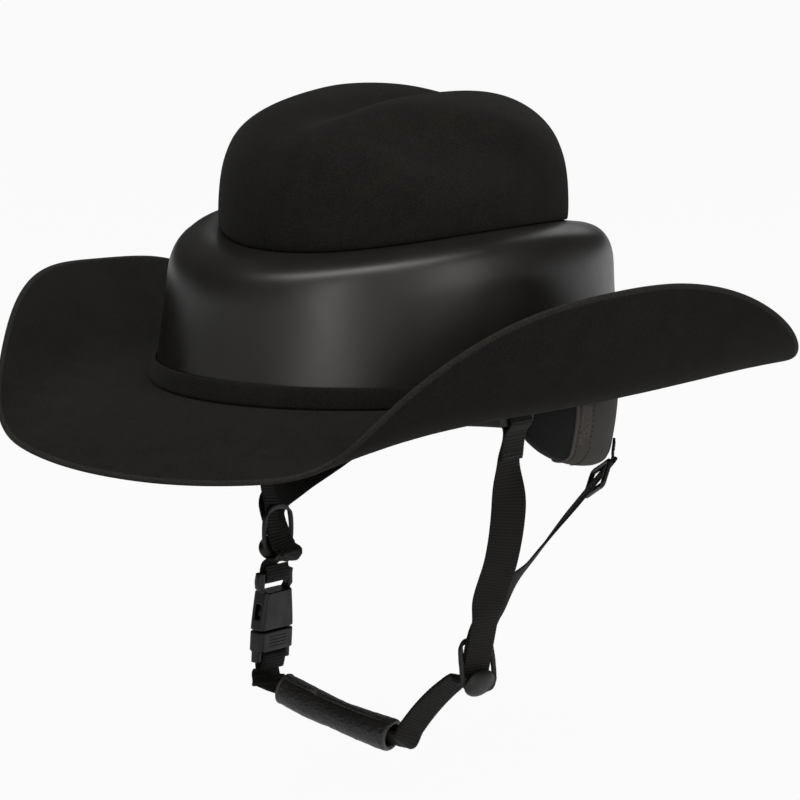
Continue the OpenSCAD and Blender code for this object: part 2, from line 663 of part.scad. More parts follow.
// Plug: a base with a centre tongue and two pivoted prongs
prong_y = 8.4;
prong_root_r = 2.2;
prong_pivot_z = -buckle_gap - prong_root_r - 0.6;
plug_solid = plug_l - 6.6;
module buckle_plug() {
  tongue_w = 4;
  color(plastic_colour) at_buckle() {
    difference() {
      union() {
        buckle_block(-buckle_gap - plug_solid, -buckle_gap);
        ears(-buckle_gap - plug_l, -buckle_gap - plug_solid + 1);
      }
      for (j = [-1, 1]) {
        translate([-prong_t / 2 - clear, j * prong_y, prong_pivot_z]) rotate([0, 90, 0])
          cylinder(r = prong_root_r + clear, h = prong_t + 2 * clear, $fn = 48);
        translate([-prong_t / 2 - clear, j * prong_y - prong_root_r - clear, prong_pivot_z])
          cube([prong_t + 2 * clear, 2 * (prong_root_r + clear), prong_root_r + 2]);
      }
    }
    translate([-prong_t / 2, -tongue_w / 2, -buckle_gap - 1]) cube([prong_t, tongue_w, prong_l]);
    bar_across(plug_bar_z);
  }
}
module prong(j) {
  tip = prong_l - buckle_gap;
  color(plastic_colour) at_buckle() mirror([0, j > 0 ? 0 : 1, 0])
    translate([-prong_t / 2, 0, 0]) rotate([90, 0, 90]) linear_extrude(prong_t) {
      translate([prong_y, prong_pivot_z]) circle(prong_root_r, $fn = 48);
      polygon([[6.8, prong_pivot_z + 0.8], [10, prong_pivot_z + 0.8], [10.3, tip * 0.42], [11, tip * 0.48],
               [11, tip * 0.66], [9.3, tip - 1], [8.4, tip], [7.2, tip - 0.6]]);
    }
}
module prong_front() { prong(-1); }
module prong_rear() { prong(1); }

// Right front strap: runs on through the divider to the ladder bar of the socket
module front_strap_right() {
  up = leaned([0, 0, 1], lean_right);
  bar = buckle_at + buckle_up * socket_bar_z;
  face = -leaned([1, 0, 0], buckle_lean);
  first = front_run(div_right, lean_right, spin_right, -1, -1, below_right, -40, 18);
  low = div_right - up * below_right + leaned([layer, 0, 0], lean_right);
  into_loop = bar + buckle_up * 6 + face * web_loop_r;
  ribbon(concat(first,
    run(bend(low - up, low - up * 8, into_loop, 4), 0, 0),
    run(concat(bar_loop(bar, -buckle_up, face, web_loop_r, -4, 190),
               [bar + buckle_up * 7 - face * layer * 1.6]), 0, 0)));
}

// Chin strap: hinges behind the left divider, runs through the chin pad to the plug's bar. Inside
// the pad the webbing is folded narrow. Its width is tilted, as it lies under the jaw.
pad_near = [32, -34, -198.6];
pad_far = [-41, -40, -182.8];
pad_dir = unit(pad_near - pad_far);
pad_mid = (pad_near + pad_far) / 2;
pad_wide = square_to([0, 0.66, -0.75], pad_dir);
fold_w = 13;
fold_t = 3;
pad_slide = 4;
module chin_strap() {
  start = unit([-0.95, 0, -0.2]);
  near = pad_mid + pad_dir * (chin_l / 2 + 7);
  far = pad_mid - pad_dir * (chin_l / 2 + pad_slide + 6);
  bar = buckle_at + buckle_up * plug_bar_z;
  face = -leaned([1, 0, 0], buckle_lean);
  level_wide = [0, 1, 0];
  near_wide = [0, 0.8, -0.6];
  rise = [-1, 0, 7];
  dip = [0, 0, -1];
  above_near = hinge_at + start * 10;
  below_bar = bar - buckle_up * 11 + face * layer;
  function doubled(p) = station(p, level_wide, web_w / 2, web_t);
  function folded(p) = station(p, pad_wide, fold_w / 2, fold_t / 2);
  function leg(points, wide_a, wide_b, thick = web_t) =
    [for (i = [0 : len(points) - 1])
      station(points[i], mix(wide_a, wide_b, i / (len(points) - 1)), web_w / 2, thick / 2)];
  ribbon(concat(
    [station(hinge_at - start * 1.3, level_wide, web_w / 2, 0.7),
     station(hinge_at - start * 0.8, level_wide, web_w / 2, 1.2)],
    [doubled(hinge_at), doubled(hinge_at + start * 8)],
    leg(bend(above_near, mix(above_near, near, 0.5) + rise, near, 6), mix(level_wide, near_wide, 0.6), near_wide,
        web_t * 1.6),
    [folded(near - pad_dir * 5), folded(pad_mid), folded(far + pad_dir)],
    leg(bend(far - pad_dir, mix(far, below_bar, 0.5) + dip, below_bar, 5), pad_wide, level_wide),
    run(bar_loop(bar, buckle_up, face, web_loop_r, -8, 188), 0, 0),
    [station(bar - buckle_up * 7 - face * layer * 1.9)]));
}

module chin_pad() {
  bore_w = fold_w + 1.6;
  bore_t = fold_t + 1.2;
  color(pad_colour) place_up(pad_mid, pad_dir, pad_wide)
    translate([0, 0, -chin_l / 2]) linear_extrude(chin_l) difference() {
      circle(d = chin_d, $fn = 64);
      rounded_rect(bore_t, bore_w, bore_t / 2 - 0.01);
    }
}

outer_shell();
felt_crown();
brim();
hat_band();
foam_liner();
clamp_ring_upper();
clamp_ring_lower();
ring_rivets();
sweatband();
front_pad();
rear_pad();
side_pad_left();
side_pad_right();
crown_pad();
hook_loop_dots();
nape_pad();
nape_glide_left();
nape_glide_right();
front_strap_left();
front_strap_right();
rear_strap_left();
rear_strap_right();
divider_left();
divider_right();
buckle_socket();
buckle_plug();
prong_front();
prong_rear();
chin_strap();
chin_pad();
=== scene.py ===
"""Looks of a riding helmet in the form of a western hat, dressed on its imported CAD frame.

Lengths are metres in the frame's own axes: +Z up, the hat faces -Y and the wearer's left is +X.
"""
from __future__ import annotations

import json
import logging
import math
from contextlib import contextmanager
from dataclasses import dataclass, field
from enum import Enum
from typing import Any, Callable, Iterable, Iterator, Sequence

import bmesh
import bpy
import numpy as np
from mathutils import Matrix, Vector, noise
from mathutils.bvhtree import BVHTree
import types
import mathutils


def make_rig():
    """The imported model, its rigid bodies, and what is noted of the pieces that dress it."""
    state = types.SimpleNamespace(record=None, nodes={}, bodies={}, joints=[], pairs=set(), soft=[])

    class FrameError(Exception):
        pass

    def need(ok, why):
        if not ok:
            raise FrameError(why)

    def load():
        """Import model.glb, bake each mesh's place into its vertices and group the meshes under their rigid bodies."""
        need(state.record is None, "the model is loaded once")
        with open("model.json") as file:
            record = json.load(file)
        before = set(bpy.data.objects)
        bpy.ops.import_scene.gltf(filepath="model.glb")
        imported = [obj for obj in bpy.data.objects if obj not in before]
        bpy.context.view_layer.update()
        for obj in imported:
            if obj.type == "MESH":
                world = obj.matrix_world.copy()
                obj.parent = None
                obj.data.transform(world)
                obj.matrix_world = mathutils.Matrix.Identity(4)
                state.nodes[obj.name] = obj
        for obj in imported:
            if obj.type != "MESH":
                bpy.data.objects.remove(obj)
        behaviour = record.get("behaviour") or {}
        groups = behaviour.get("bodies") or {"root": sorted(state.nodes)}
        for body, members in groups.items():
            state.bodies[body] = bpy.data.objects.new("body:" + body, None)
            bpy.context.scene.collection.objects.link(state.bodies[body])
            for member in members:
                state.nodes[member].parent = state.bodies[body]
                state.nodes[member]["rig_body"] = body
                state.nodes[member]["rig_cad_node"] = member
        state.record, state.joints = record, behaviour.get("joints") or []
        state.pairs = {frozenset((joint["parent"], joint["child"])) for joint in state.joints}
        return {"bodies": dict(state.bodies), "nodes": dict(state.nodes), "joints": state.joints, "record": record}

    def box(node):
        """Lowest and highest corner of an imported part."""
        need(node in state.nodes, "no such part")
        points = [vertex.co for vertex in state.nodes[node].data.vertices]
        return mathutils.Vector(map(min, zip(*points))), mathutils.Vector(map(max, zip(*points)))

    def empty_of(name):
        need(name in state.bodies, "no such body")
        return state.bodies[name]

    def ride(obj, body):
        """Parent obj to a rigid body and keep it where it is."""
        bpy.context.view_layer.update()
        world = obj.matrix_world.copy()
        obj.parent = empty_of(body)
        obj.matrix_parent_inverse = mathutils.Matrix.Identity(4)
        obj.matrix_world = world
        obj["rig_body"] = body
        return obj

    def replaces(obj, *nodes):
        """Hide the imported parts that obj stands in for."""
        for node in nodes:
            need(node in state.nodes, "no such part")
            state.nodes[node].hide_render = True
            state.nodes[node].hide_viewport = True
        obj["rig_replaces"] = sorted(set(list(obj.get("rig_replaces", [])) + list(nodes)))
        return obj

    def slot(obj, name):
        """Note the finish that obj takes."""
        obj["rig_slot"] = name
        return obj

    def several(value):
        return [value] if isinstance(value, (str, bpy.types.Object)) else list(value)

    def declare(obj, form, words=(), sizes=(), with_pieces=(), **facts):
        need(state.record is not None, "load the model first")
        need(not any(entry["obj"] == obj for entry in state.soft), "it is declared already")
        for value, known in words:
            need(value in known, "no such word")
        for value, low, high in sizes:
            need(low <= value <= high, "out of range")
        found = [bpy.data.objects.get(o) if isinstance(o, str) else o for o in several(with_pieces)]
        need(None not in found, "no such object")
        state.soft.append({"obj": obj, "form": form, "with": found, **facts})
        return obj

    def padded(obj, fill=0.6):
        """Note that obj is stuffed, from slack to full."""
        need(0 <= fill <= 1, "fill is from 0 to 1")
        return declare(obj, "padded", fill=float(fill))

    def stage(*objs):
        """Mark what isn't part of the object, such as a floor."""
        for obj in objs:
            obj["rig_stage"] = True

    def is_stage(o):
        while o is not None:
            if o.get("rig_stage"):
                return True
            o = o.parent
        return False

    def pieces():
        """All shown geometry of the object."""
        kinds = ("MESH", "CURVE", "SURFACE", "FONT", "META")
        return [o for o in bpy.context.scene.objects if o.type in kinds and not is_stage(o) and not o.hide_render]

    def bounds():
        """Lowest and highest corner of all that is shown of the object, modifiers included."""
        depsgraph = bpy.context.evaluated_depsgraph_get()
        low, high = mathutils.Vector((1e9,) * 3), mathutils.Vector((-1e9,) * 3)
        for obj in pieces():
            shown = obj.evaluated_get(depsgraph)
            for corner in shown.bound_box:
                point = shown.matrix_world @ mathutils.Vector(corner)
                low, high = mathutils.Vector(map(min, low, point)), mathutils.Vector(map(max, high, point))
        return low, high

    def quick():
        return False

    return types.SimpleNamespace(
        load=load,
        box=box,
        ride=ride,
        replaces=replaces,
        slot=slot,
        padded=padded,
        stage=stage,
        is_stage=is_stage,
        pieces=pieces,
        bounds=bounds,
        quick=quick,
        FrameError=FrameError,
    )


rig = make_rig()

LOG = logging.getLogger("western_hat_helmet")
Colour = tuple[float, float, float]
MM = 0.001
QUAD_LIMIT = math.radians(50)
HELMET = "helmet"
CHIN = "chin_strap"
Socket = bpy.types.NodeSocket
Piece = bpy.types.Object
Rule = Callable[[float, float], Vector]


class Side(Enum):
    """The wearer's side that a piece belongs to; its value is the sign of X."""

    LEFT = 1
    RIGHT = -1


# ---------------------------------------------------------------------------------------------
# Finishes


class Graph:
    """One material's shader nodes, added and linked by short calls."""

    def __init__(self, name: str) -> None:
        """Starts a material with only a Principled shader and its output.

        Args:
            name: The material's name.
        """
        self.material = bpy.data.materials.new(name)
        self.material.use_nodes = True
        self.tree = self.material.node_tree
        self.shader = self.tree.nodes["Principled BSDF"]

    def add(self, kind: str, sockets: dict[str, Any] | None = None, **settings: Any) -> bpy.types.Node:
        """Adds a node.

        Args:
            kind: The node's type, without its ShaderNode prefix.
            sockets: Input name to a plain value or to an output that is linked to it.
            settings: The node's own properties.

        Returns:
            The new node.
        """
        node = self.tree.nodes.new("ShaderNode" + kind)
        for key, value in settings.items():
            setattr(node, key, value)
        for key, value in (sockets or {}).items():
            self.feed(node.inputs[key], value)
        return node

    def feed(self, socket: Socket, value: Any) -> None:
        """Links an output to a socket, or sets the socket's own value."""
        if isinstance(value, Socket):
            self.tree.links.new(value, socket)
        else:
            socket.default_value = value

    def place(self) -> Socket:
        """Object coordinates, in metres."""
        return self.add("TexCoord").outputs["Object"]

    def along(self, scale: Sequence[float] = (1, 1, 1)) -> Socket:
        """The piece's own UV map, whose unit is a metre along the surface, times scale."""
        uv = self.add("UVMap", uv_map="UVMap").outputs["UV"]
        return self.add("Mapping", {"Vector": uv, "Scale": scale}).outputs["Vector"]

    def noise(self, vector: Socket, scale: float, detail: float = 3.0) -> Socket:
        """Noise from 0 to 1 with scale features in a metre."""
        node = self.add("TexNoise", {"Vector": vector, "Scale": scale, "Detail": detail})
        return node.outputs["Fac"]

    def cells(self, vector: Socket, scale: float, feature: str = "F1") -> Socket:
        """Distance within Voronoi cells."""
        node = self.add("TexVoronoi", {"Vector": vector, "Scale": scale}, feature=feature)
        return node.outputs["Distance"]

    def bands(self, vector: Socket, scale: float, direction: str, distortion: float = 0.0) -> Socket:
        """Sine bands across one axis of the vector."""
        node = self.add("TexWave", {"Vector": vector, "Scale": scale, "Distortion": distortion},
                        wave_type="BANDS", bands_direction=direction)
        return node.outputs["Fac"]

    def math(self, operation: str, a: Any, b: Any = 0.0) -> Socket:
        """One arithmetic step on two values."""
        node = self.add("Math", operation=operation)
        self.feed(node.inputs[0], a)
        self.feed(node.inputs[1], b)
        return node.outputs["Value"]

    def remap(self, value: Socket, low: float, high: float, to_low: float, to_high: float) -> Socket:
        """Maps a range of a value to another range, clamped."""
        node = self.add("MapRange", {"Value": value, "From Min": low, "From Max": high,
                                     "To Min": to_low, "To Max": to_high})
        return node.outputs["Result"]

    def blend(self, factor: Socket, first: Any, second: Any) -> Socket:
        """A colour between two colours."""
        node = self.add("Mix", data_type="RGBA")
        self.feed(node.inputs["Factor"], factor)
        self.feed(node.inputs[6], (*first, 1) if isinstance(first, tuple) else first)
        self.feed(node.inputs[7], (*second, 1) if isinstance(second, tuple) else second)
        return node.outputs[2]

    def tint(self, colour: Socket) -> None:
        """Links the base colour."""
        self.feed(self.shader.inputs["Base Color"], colour)

    def tones(self, value: Socket, span: tuple[float, float], dark: Colour, light: Colour) -> None:
        """Colours the surface from dark to light as a value crosses a span."""
        self.tint(self.blend(self.remap(value, *span, 0, 1), dark, light))

    def gloss(self, value: Socket, span: tuple[float, float], low: float, high: float) -> None:
        """Moves the roughness from low to high as a value crosses a span."""
        self.feed(self.shader.inputs["Roughness"], self.remap(value, *span, low, high))

    def relief(self, height: Socket, depth: float, under: Socket | None = None) -> Socket:
        """Adds a bump and links it to the shader.

        Args:
            height: The height from 0 to 1.
            depth: The depth that a height of 1 stands for, in metres.
            under: A coarser bump's normal, which this one adds to.

        Returns:
            The bumped normal.
        """
        node = self.add("Bump", {"Height": height, "Distance": depth, "Strength": 1.0})
        if under is not None:
            self.feed(node.inputs["Normal"], under)
        self.feed(self.shader.inputs["Normal"], node.outputs["Normal"])
        return node.outputs["Normal"]


def shade(colour: Colour, factor: float) -> Colour:
    """A colour times a factor."""
    return (colour[0] * factor, colour[1] * factor, colour[2] * factor)


@dataclass(frozen=True)
class Finish:
    """A finish with one base colour; its subclasses add the pattern of the real surface."""

    name: str
    slot: str
    colour: Colour
    roughness: float = 0.6
    sheen: float = 0.0
    sheen_roughness: float = 0.5
    specular: float = 0.5
    metallic: float = 0.0
    coat: float = 0.0

    def material(self) -> bpy.types.Material:
        """Builds the material, or returns it where it exists.

        Returns:
            The material.
        """
        found = bpy.data.materials.get(self.name)
        if found:
            return found
        graph = Graph(self.name)
        values = {"Roughness": self.roughness, "Sheen Weight": self.sheen,
                  "Sheen Roughness": self.sheen_roughness, "Specular IOR Level": self.specular,
                  "Metallic": self.metallic, "Coat Weight": self.coat}
        for socket, value in values.items():
            graph.shader.inputs[socket].default_value = value
        graph.shader.inputs["Base Color"].default_value = (*self.colour, 1)
        graph.material.diffuse_color = (*self.colour, 1)
        self.pattern(graph)
        return graph.material

    def pattern(self, graph: Graph) -> None:
        """Adds the nodes that make the surface's pattern."""


@dataclass(frozen=True)
class Felt(Finish):
    """Pressed wool felt: short matted fibre with faint mottling and a dusty nap."""

    fibre: float = 2600.0
    fibre_depth: float = 0.16 * MM

    def pattern(self, graph: Graph) -> None:
        """Adds fibre, pile clumps and mottling."""
        place = graph.place()
        mottle = graph.noise(place, 70, 4)
        clumps = graph.noise(place, 1050, 6)
        fibre = graph.noise(place, self.fibre, 6)
        mixed = graph.math("ADD", graph.math("MULTIPLY", mottle, 0.22), graph.math("MULTIPLY", clumps, 0.78))
        graph.tones(mixed, (0.36, 0.64), shade(self.colour, 0.66), shade(self.colour, 1.42))
        soft = graph.relief(clumps, 0.35 * MM)
        graph.relief(fibre, self.fibre_depth, soft)


@dataclass(frozen=True)
class SatinPlastic(Finish):
    """Satin moulded plastic with a fine orange peel and light handling marks."""

    peel: float = 260.0
    peel_depth: float = 0.02 * MM

    def pattern(self, graph: Graph) -> None:
        """Adds the orange peel, a drifting gloss and a faint dust tone."""
        place = graph.place()
        drift = graph.noise(place, 22, 4)
        fine = graph.noise(place, self.peel, 3)
        graph.gloss(drift, (0.3, 0.7), self.roughness - 0.05, self.roughness + 0.07)
        graph.tones(drift, (0.35, 0.7), shade(self.colour, 0.86), shade(self.colour, 1.2))
        graph.relief(fine, self.peel_depth)


@dataclass(frozen=True)
class MouldedPlastic(Finish):
    """Spark-textured nylon, as on buckles and clamp rings."""

    spark: float = 2200.0
    spark_depth: float = 0.03 * MM

    def pattern(self, graph: Graph) -> None:
        """Adds the spark texture and paler scuffing in patches."""
        place = graph.place()
        spark = graph.noise(place, self.spark, 2)
        scuff = graph.noise(place, 130, 6)
        graph.gloss(scuff, (0.35, 0.7), self.roughness - 0.08, self.roughness + 0.1)
        graph.tones(scuff, (0.5, 0.74), self.colour, shade(self.colour, 1.7))
        graph.relief(spark, self.spark_depth)


@dataclass(frozen=True)
class Webbing(Finish):
    """Ribbed webbing: yarns along the strap that dip under each crosswise rib."""

    pitch: float = 1.8 * MM
    yarn: float = 0.8 * MM

    def pattern(self, graph: Graph) -> None:
        """Adds ribs and yarns as bumps and a drift in the dye, with painted light on the rib tops and painted shade in
        the grooves, along the strap's own map.
        """
        uv = graph.along()
        ribs = graph.math("SUBTRACT", 1.0, graph.bands(uv, math.pi / (10 * self.pitch), "Y"))
        yarns = graph.bands(uv, math.pi / (10 * self.yarn), "X", 0.6)
        drift = graph.noise(graph.place(), 60, 4)
        threads = graph.math("ADD", yarns, drift)
        # Rib tops are painted lighter and the grooves between them darker: painted light and shade, mixed with the
        # yarns and the dye's drift.
        tone = graph.math("MULTIPLY", graph.math("ADD", threads, graph.math("MULTIPLY", ribs, 3.0)), 0.2)
        graph.tint(graph.blend(tone, shade(self.colour, 0.2), shade(self.colour, 2.2)))
        rib_normal = graph.relief(ribs, 0.10 * MM)
        graph.relief(yarns, 0.08 * MM, rib_normal)


@dataclass(frozen=True)
class Knit(Finish):
    """Brushed knit over foam, as on comfort pads and the smooth nape panels."""

    stitch: float = 900.0
    stitch_depth: float = 0.12 * MM

    def pattern(self, graph: Graph) -> None:
        """Adds the small knit stitches and a soft drift in tone."""
        place = graph.place()
        stitch = graph.cells(place, self.stitch)
        drift = graph.noise(place, 38, 5)
        graph.tones(drift, (0.3, 0.7), shade(self.colour, 0.76), shade(self.colour, 1.28))
        graph.relief(stitch, self.stitch_depth)


@dataclass(frozen=True)
class SpacerMesh(Finish):
    """Open spacer mesh: round holes in a raised net."""

    hole: float = 640.0

    def pattern(self, graph: Graph) -> None:
        """Adds the holes as deeper cells, darkened with painted shade."""
        place = graph.place()
        hole = graph.cells(place, self.hole, "SMOOTH_F1")
        open_part = graph.remap(hole, 0.18, 0.42, 0, 1)
        # The holes are painted dark: painted shade inside them.
        graph.tint(graph.blend(open_part, shade(self.colour, 0.3), shade(self.colour, 1.5)))
        graph.relief(open_part, 0.4 * MM)


@dataclass(frozen=True)
class Leather(Finish):
    """Soft leather with a fine pebble grain."""

    pebble: float = 1100.0

    def pattern(self, graph: Graph) -> None:
        """Adds pebbles and worn, slightly glossier patches."""
        place = graph.place()
        pebble = graph.cells(place, self.pebble, "SMOOTH_F1")
        wear = graph.noise(place, 55, 5)
        graph.gloss(wear, (0.3, 0.7), self.roughness - 0.12, self.roughness + 0.1)
        graph.tones(wear, (0.4, 0.7), self.colour, shade(self.colour, 1.5))
        graph.relief(pebble, 0.16 * MM)


@dataclass(frozen=True)
class BeadFoam(Finish):
    """Moulded bead foam: flat many-sided beads with fine gaps between them."""

    beads: float = 260.0

    def pattern(self, graph: Graph) -> None:
        """Adds the beads' outlines and their small steps in tone."""
        place = graph.place()
        node = graph.add("TexVoronoi", {"Vector": place, "Scale": self.beads}, feature="DISTANCE_TO_EDGE")
        gap = graph.remap(node.outputs["Distance"], 0.0, 0.09, 0, 1)
        tone = graph.add("TexVoronoi", {"Vector": place, "Scale": self.beads}).outputs["Distance"]
        step = graph.remap(tone, 0.1, 0.8, 0, 1)
        beads = graph.blend(step, shade(self.colour, 1.2), shade(self.colour, 0.8))
        graph.tint(graph.blend(gap, shade(self.colour, 0.35), beads))
        graph.relief(gap, 0.35 * MM)


@dataclass(frozen=True)
class Steel(Finish):
    """Blackened steel with fine brushing and rubbed spots."""

    def pattern(self, graph: Graph) -> None:
        """Adds brushing and paler rubbed spots."""
        place = graph.place()
        brush = graph.add("Mapping", {"Vector": place, "Scale": (1, 1, 14)}).outputs["Vector"]
        lines = graph.noise(brush, 900, 4)
        spots = graph.noise(place, 240, 5)
        graph.gloss(spots, (0.3, 0.7), 0.24, 0.46)
        graph.tones(spots, (0.42, 0.68), self.colour, shade(self.colour, 2.2))
        graph.relief(lines, 0.01 * MM)


FELT = Felt("black_wool_felt", "felt", (0.0092, 0.0090, 0.0078), roughness=0.95, sheen=0.03, specular=0.05)
# A paler felt for the brim's cut rim: a painted highlight along its edge.
FELT_RIM_HIGHLIGHT = Felt("cut_felt_edge", "felt", (0.0165, 0.0160, 0.0142),
                 roughness=0.95, sheen=0.06, specular=0.05, fibre=1800.0)
THREAD_FELT = Felt("seam_thread", "felt", (0.013, 0.013, 0.012),
                   roughness=0.8, sheen=0.05, specular=0.1, fibre=4000.0)
SHELL = SatinPlastic("satin_shell", "shell_plastic", (0.0090, 0.0083, 0.0074), roughness=0.38, specular=0.5)
NYLON = MouldedPlastic("moulded_nylon", "moulded_plastic", (0.0050, 0.0048, 0.0046),
                       roughness=0.46, specular=0.32)
STRAP = Webbing("ribbed_webbing", "webbing", (0.0062, 0.0057, 0.0053),
                roughness=0.72, sheen=0.03, specular=0.16)
THREAD = Knit("sewing_thread", "webbing", (0.020, 0.018, 0.017), roughness=0.6, stitch=3000.0)
NAPE_KNIT = Knit("nape_fabric", "nape_fabric", (0.0215, 0.0170, 0.0145),
                 roughness=0.8, sheen=0.12, specular=0.2)
NAPE_WING = Knit("nape_wing_fabric", "nape_fabric", (0.0042, 0.0041, 0.0041),
                 roughness=0.75, sheen=0.04, specular=0.14, stitch=1500.0)
NAPE_MESH = SpacerMesh("nape_mesh", "nape_fabric", (0.0300, 0.0245, 0.0220),
                       roughness=0.75, sheen=0.15, specular=0.3)
BINDING = Knit("bound_edge", "nape_fabric", (0.0230, 0.0195, 0.0180),
               roughness=0.62, sheen=0.2, stitch=2200.0)
PAD_KNIT = Knit("comfort_pad_knit", "pad_fabric", (0.0200, 0.0200, 0.0215),
                roughness=0.85, sheen=0.4, specular=0.2, stitch=1100.0)
PAD_WELT = Knit("comfort_pad_welt", "pad_fabric", (0.0120, 0.0120, 0.0130),
                roughness=0.7, sheen=0.2, stitch=2200.0)
SLEEVE = Knit("chin_sleeve", "sleeve_fabric", (0.0115, 0.0106, 0.0104),
              roughness=0.52, sheen=0.06, specular=0.4, stitch=620.0, stitch_depth=0.34 * MM)
SLEEVE_EDGE = Knit("chin_sleeve_binding", "sleeve_fabric", (0.0210, 0.0200, 0.0190),
                   roughness=0.4, sheen=0.1, specular=0.5, stitch=2000.0)
SWEAT = Leather("sweatband_leather", "sweat_leather", (0.0230, 0.0200, 0.0180), roughness=0.6, specular=0.4)
FOAM = BeadFoam("bead_foam", "foam", (0.040, 0.040, 0.042), roughness=0.8, specular=0.3)
HOOKS = Knit("touch_fastener", "hook_loop", (0.028, 0.028, 0.028),
             roughness=0.95, sheen=0.3, stitch=1600.0, stitch_depth=0.5 * MM)
RIVET = Steel("blackened_steel", "rivet_steel", (0.16, 0.16, 0.165), roughness=0.34, metallic=1.0)


# ---------------------------------------------------------------------------------------------
# The modelling bench


def only(*objects: Piece) -> Piece:
    """Leaves object mode with just these objects selected and the first one active.

    Args:
        objects: The objects to select.

    Returns:
        The first object.
    """
    if bpy.context.object and bpy.context.object.mode != "OBJECT":
        bpy.ops.object.mode_set(mode="OBJECT")
    bpy.ops.object.select_all(action="DESELECT")
    for obj in objects:
        obj.select_set(True)
    bpy.context.view_layer.objects.active = objects[0]
    return objects[0]


@contextmanager
def editing(obj: Piece) -> Iterator[None]:
    """Edit mode on one object with everything selected, which is left again at the end.

    Args:
        obj: The mesh object.

    Yields:
        Nothing: the operators inside the block act on the object.
    """
    only(obj)
    bpy.ops.object.mode_set(mode="EDIT")
    bpy.ops.mesh.select_all(action="SELECT")
    yield
    bpy.ops.object.mode_set(mode="OBJECT")


def modify(obj: Piece, kind: str, **settings: Any) -> Piece:
    """Adds a modifier to an object and applies it.

    Args:
        obj: The mesh object.
        kind: The modifier's type.
        settings: The modifier's own properties.

    Returns:
        The same object.
    """
    only(obj)
    modifier = obj.modifiers.new(kind.lower(), kind)
    for key, value in settings.items():
        setattr(modifier, key, value)
    bpy.ops.object.modifier_apply(modifier=modifier.name)
    return obj


def subdivided(obj: Piece, levels: int) -> Piece:
    """Rounds an object with an applied Subdivision Surface."""
    return modify(obj, "SUBSURF", levels=levels, render_levels=levels, use_limit_surface=False)


def merged_copy(frame: dict[str, Any], node: str, name: str, quads: bool = True) -> Piece:
    """Copies a CAD node's mesh, joins its loose triangles and turns them into quads.

    Args:
        node: The CAD node's name.
        name: The new object's name.
        quads: Whether pairs of triangles become quads.

    Returns:
        The new object, at the origin.
    """
    only(frame["nodes"][node])
    bpy.ops.object.duplicate()
    obj = bpy.context.object
    obj.name = name
    obj.parent = None
    for key in list(obj.keys()):
        del obj[key]
    obj.data.materials.clear()
    with editing(obj):
        bpy.ops.mesh.remove_doubles(threshold=0.002 * MM)
        if quads:
            bpy.ops.mesh.tris_convert_to_quads(face_threshold=QUAD_LIMIT, shape_threshold=QUAD_LIMIT)
    bpy.ops.object.shade_smooth()
    return obj


def bevelled_copy(frame: dict[str, Any], node: str, name: str, width: float, segments: int = 3) -> Piece:
    """Copies a rigid CAD node and rounds its sharp edges as a moulding has them.

    Args:
        node: The CAD node's name.
        name: The new object's name.
        width: How far each rounding reaches in from its edge.
        segments: Faces across each rounding.

    Returns:
        The new object.
    """
    obj = merged_copy(frame, node, name, quads=False)
    with editing(obj):
        bpy.ops.mesh.dissolve_limited(angle_limit=math.radians(1))
    modify(obj, "BEVEL", width=width, segments=segments, limit_method="ANGLE", angle_limit=math.radians(32),
           use_clamp_overlap=True)
    only(obj)
    bpy.ops.object.shade_smooth_by_angle(angle=math.radians(40))
    return obj


def shaped_grid(name: str, columns: int, rows: int, spot: Rule,
                size: tuple[float, float] | None = None) -> Piece:
    """Adds a grid and lays each of its points where a rule puts it.

    Args:
        name: The new object's name.
        columns: Faces across, where the rule's first value runs from 0 to 1.
        rows: Faces along, where the rule's second value runs from 0 to 1.
        spot: Gives the place of each point.
        size: The width and length in metres that the UV map gets, or None to leave it out.

    Returns:
        The new object.
    """
    if bpy.context.object and bpy.context.object.mode != "OBJECT":
        bpy.ops.object.mode_set(mode="OBJECT")
    bpy.ops.object.select_all(action="DESELECT")
    bpy.ops.mesh.primitive_grid_add(x_subdivisions=columns, y_subdivisions=rows, size=1, calc_uvs=True)
    obj = bpy.context.object
    obj.name = name
    for vertex in obj.data.vertices:
        vertex.co = spot(vertex.co.x + 0.5, vertex.co.y + 0.5)
    if size:
        for loop in obj.data.uv_layers["UVMap"].data:
            loop.uv = (loop.uv[0] * size[0], loop.uv[1] * size[1])
    bpy.ops.object.shade_smooth()
    return obj


def tube(name: str, points: Sequence[Vector], radius: float, closed: bool = False, sides: int = 3) -> Piece:
    """A round cord of fabric or thread through points, as a closed mesh.

    Args:
        name: The new object's name.
        points: The points of its centre line.
        radius: Its radius.
        closed: Whether the last point joins the first.
        sides: The bevel resolution of its round section.

    Returns:
        The new object.
    """
    curve = bpy.data.curves.new(name, "CURVE")
    curve.dimensions = "3D"
    curve.bevel_depth = radius
    curve.bevel_resolution = sides
    curve.use_fill_caps = not closed
    curve.resolution_u = 4
    spline = curve.splines.new("NURBS")
    spline.points.add(len(points) - 1)
    for target, point in zip(spline.points, points):
        target.co = (*point, 1)
    spline.use_cyclic_u = closed
    spline.use_endpoint_u = not closed
    spline.order_u = 3
    obj = bpy.data.objects.new(name, curve)
    bpy.context.scene.collection.objects.link(obj)
    only(obj)
    bpy.ops.object.convert(target="MESH")
    bpy.ops.object.shade_smooth()
    return bpy.context.object


def joined(name: str, parts: Sequence[Piece]) -> Piece:
    """Joins several objects into one, at the origin.

    Args:
        name: The joined object's name.
        parts: The objects.

    Returns:
        The joined object.
    """
    obj = only(*parts)
    if len(parts) > 1:
        bpy.ops.object.join()
    obj = bpy.context.object
    obj.name = name
    obj.data.name = name
    bpy.ops.object.transform_apply(location=True, rotation=True, scale=True)
    return obj


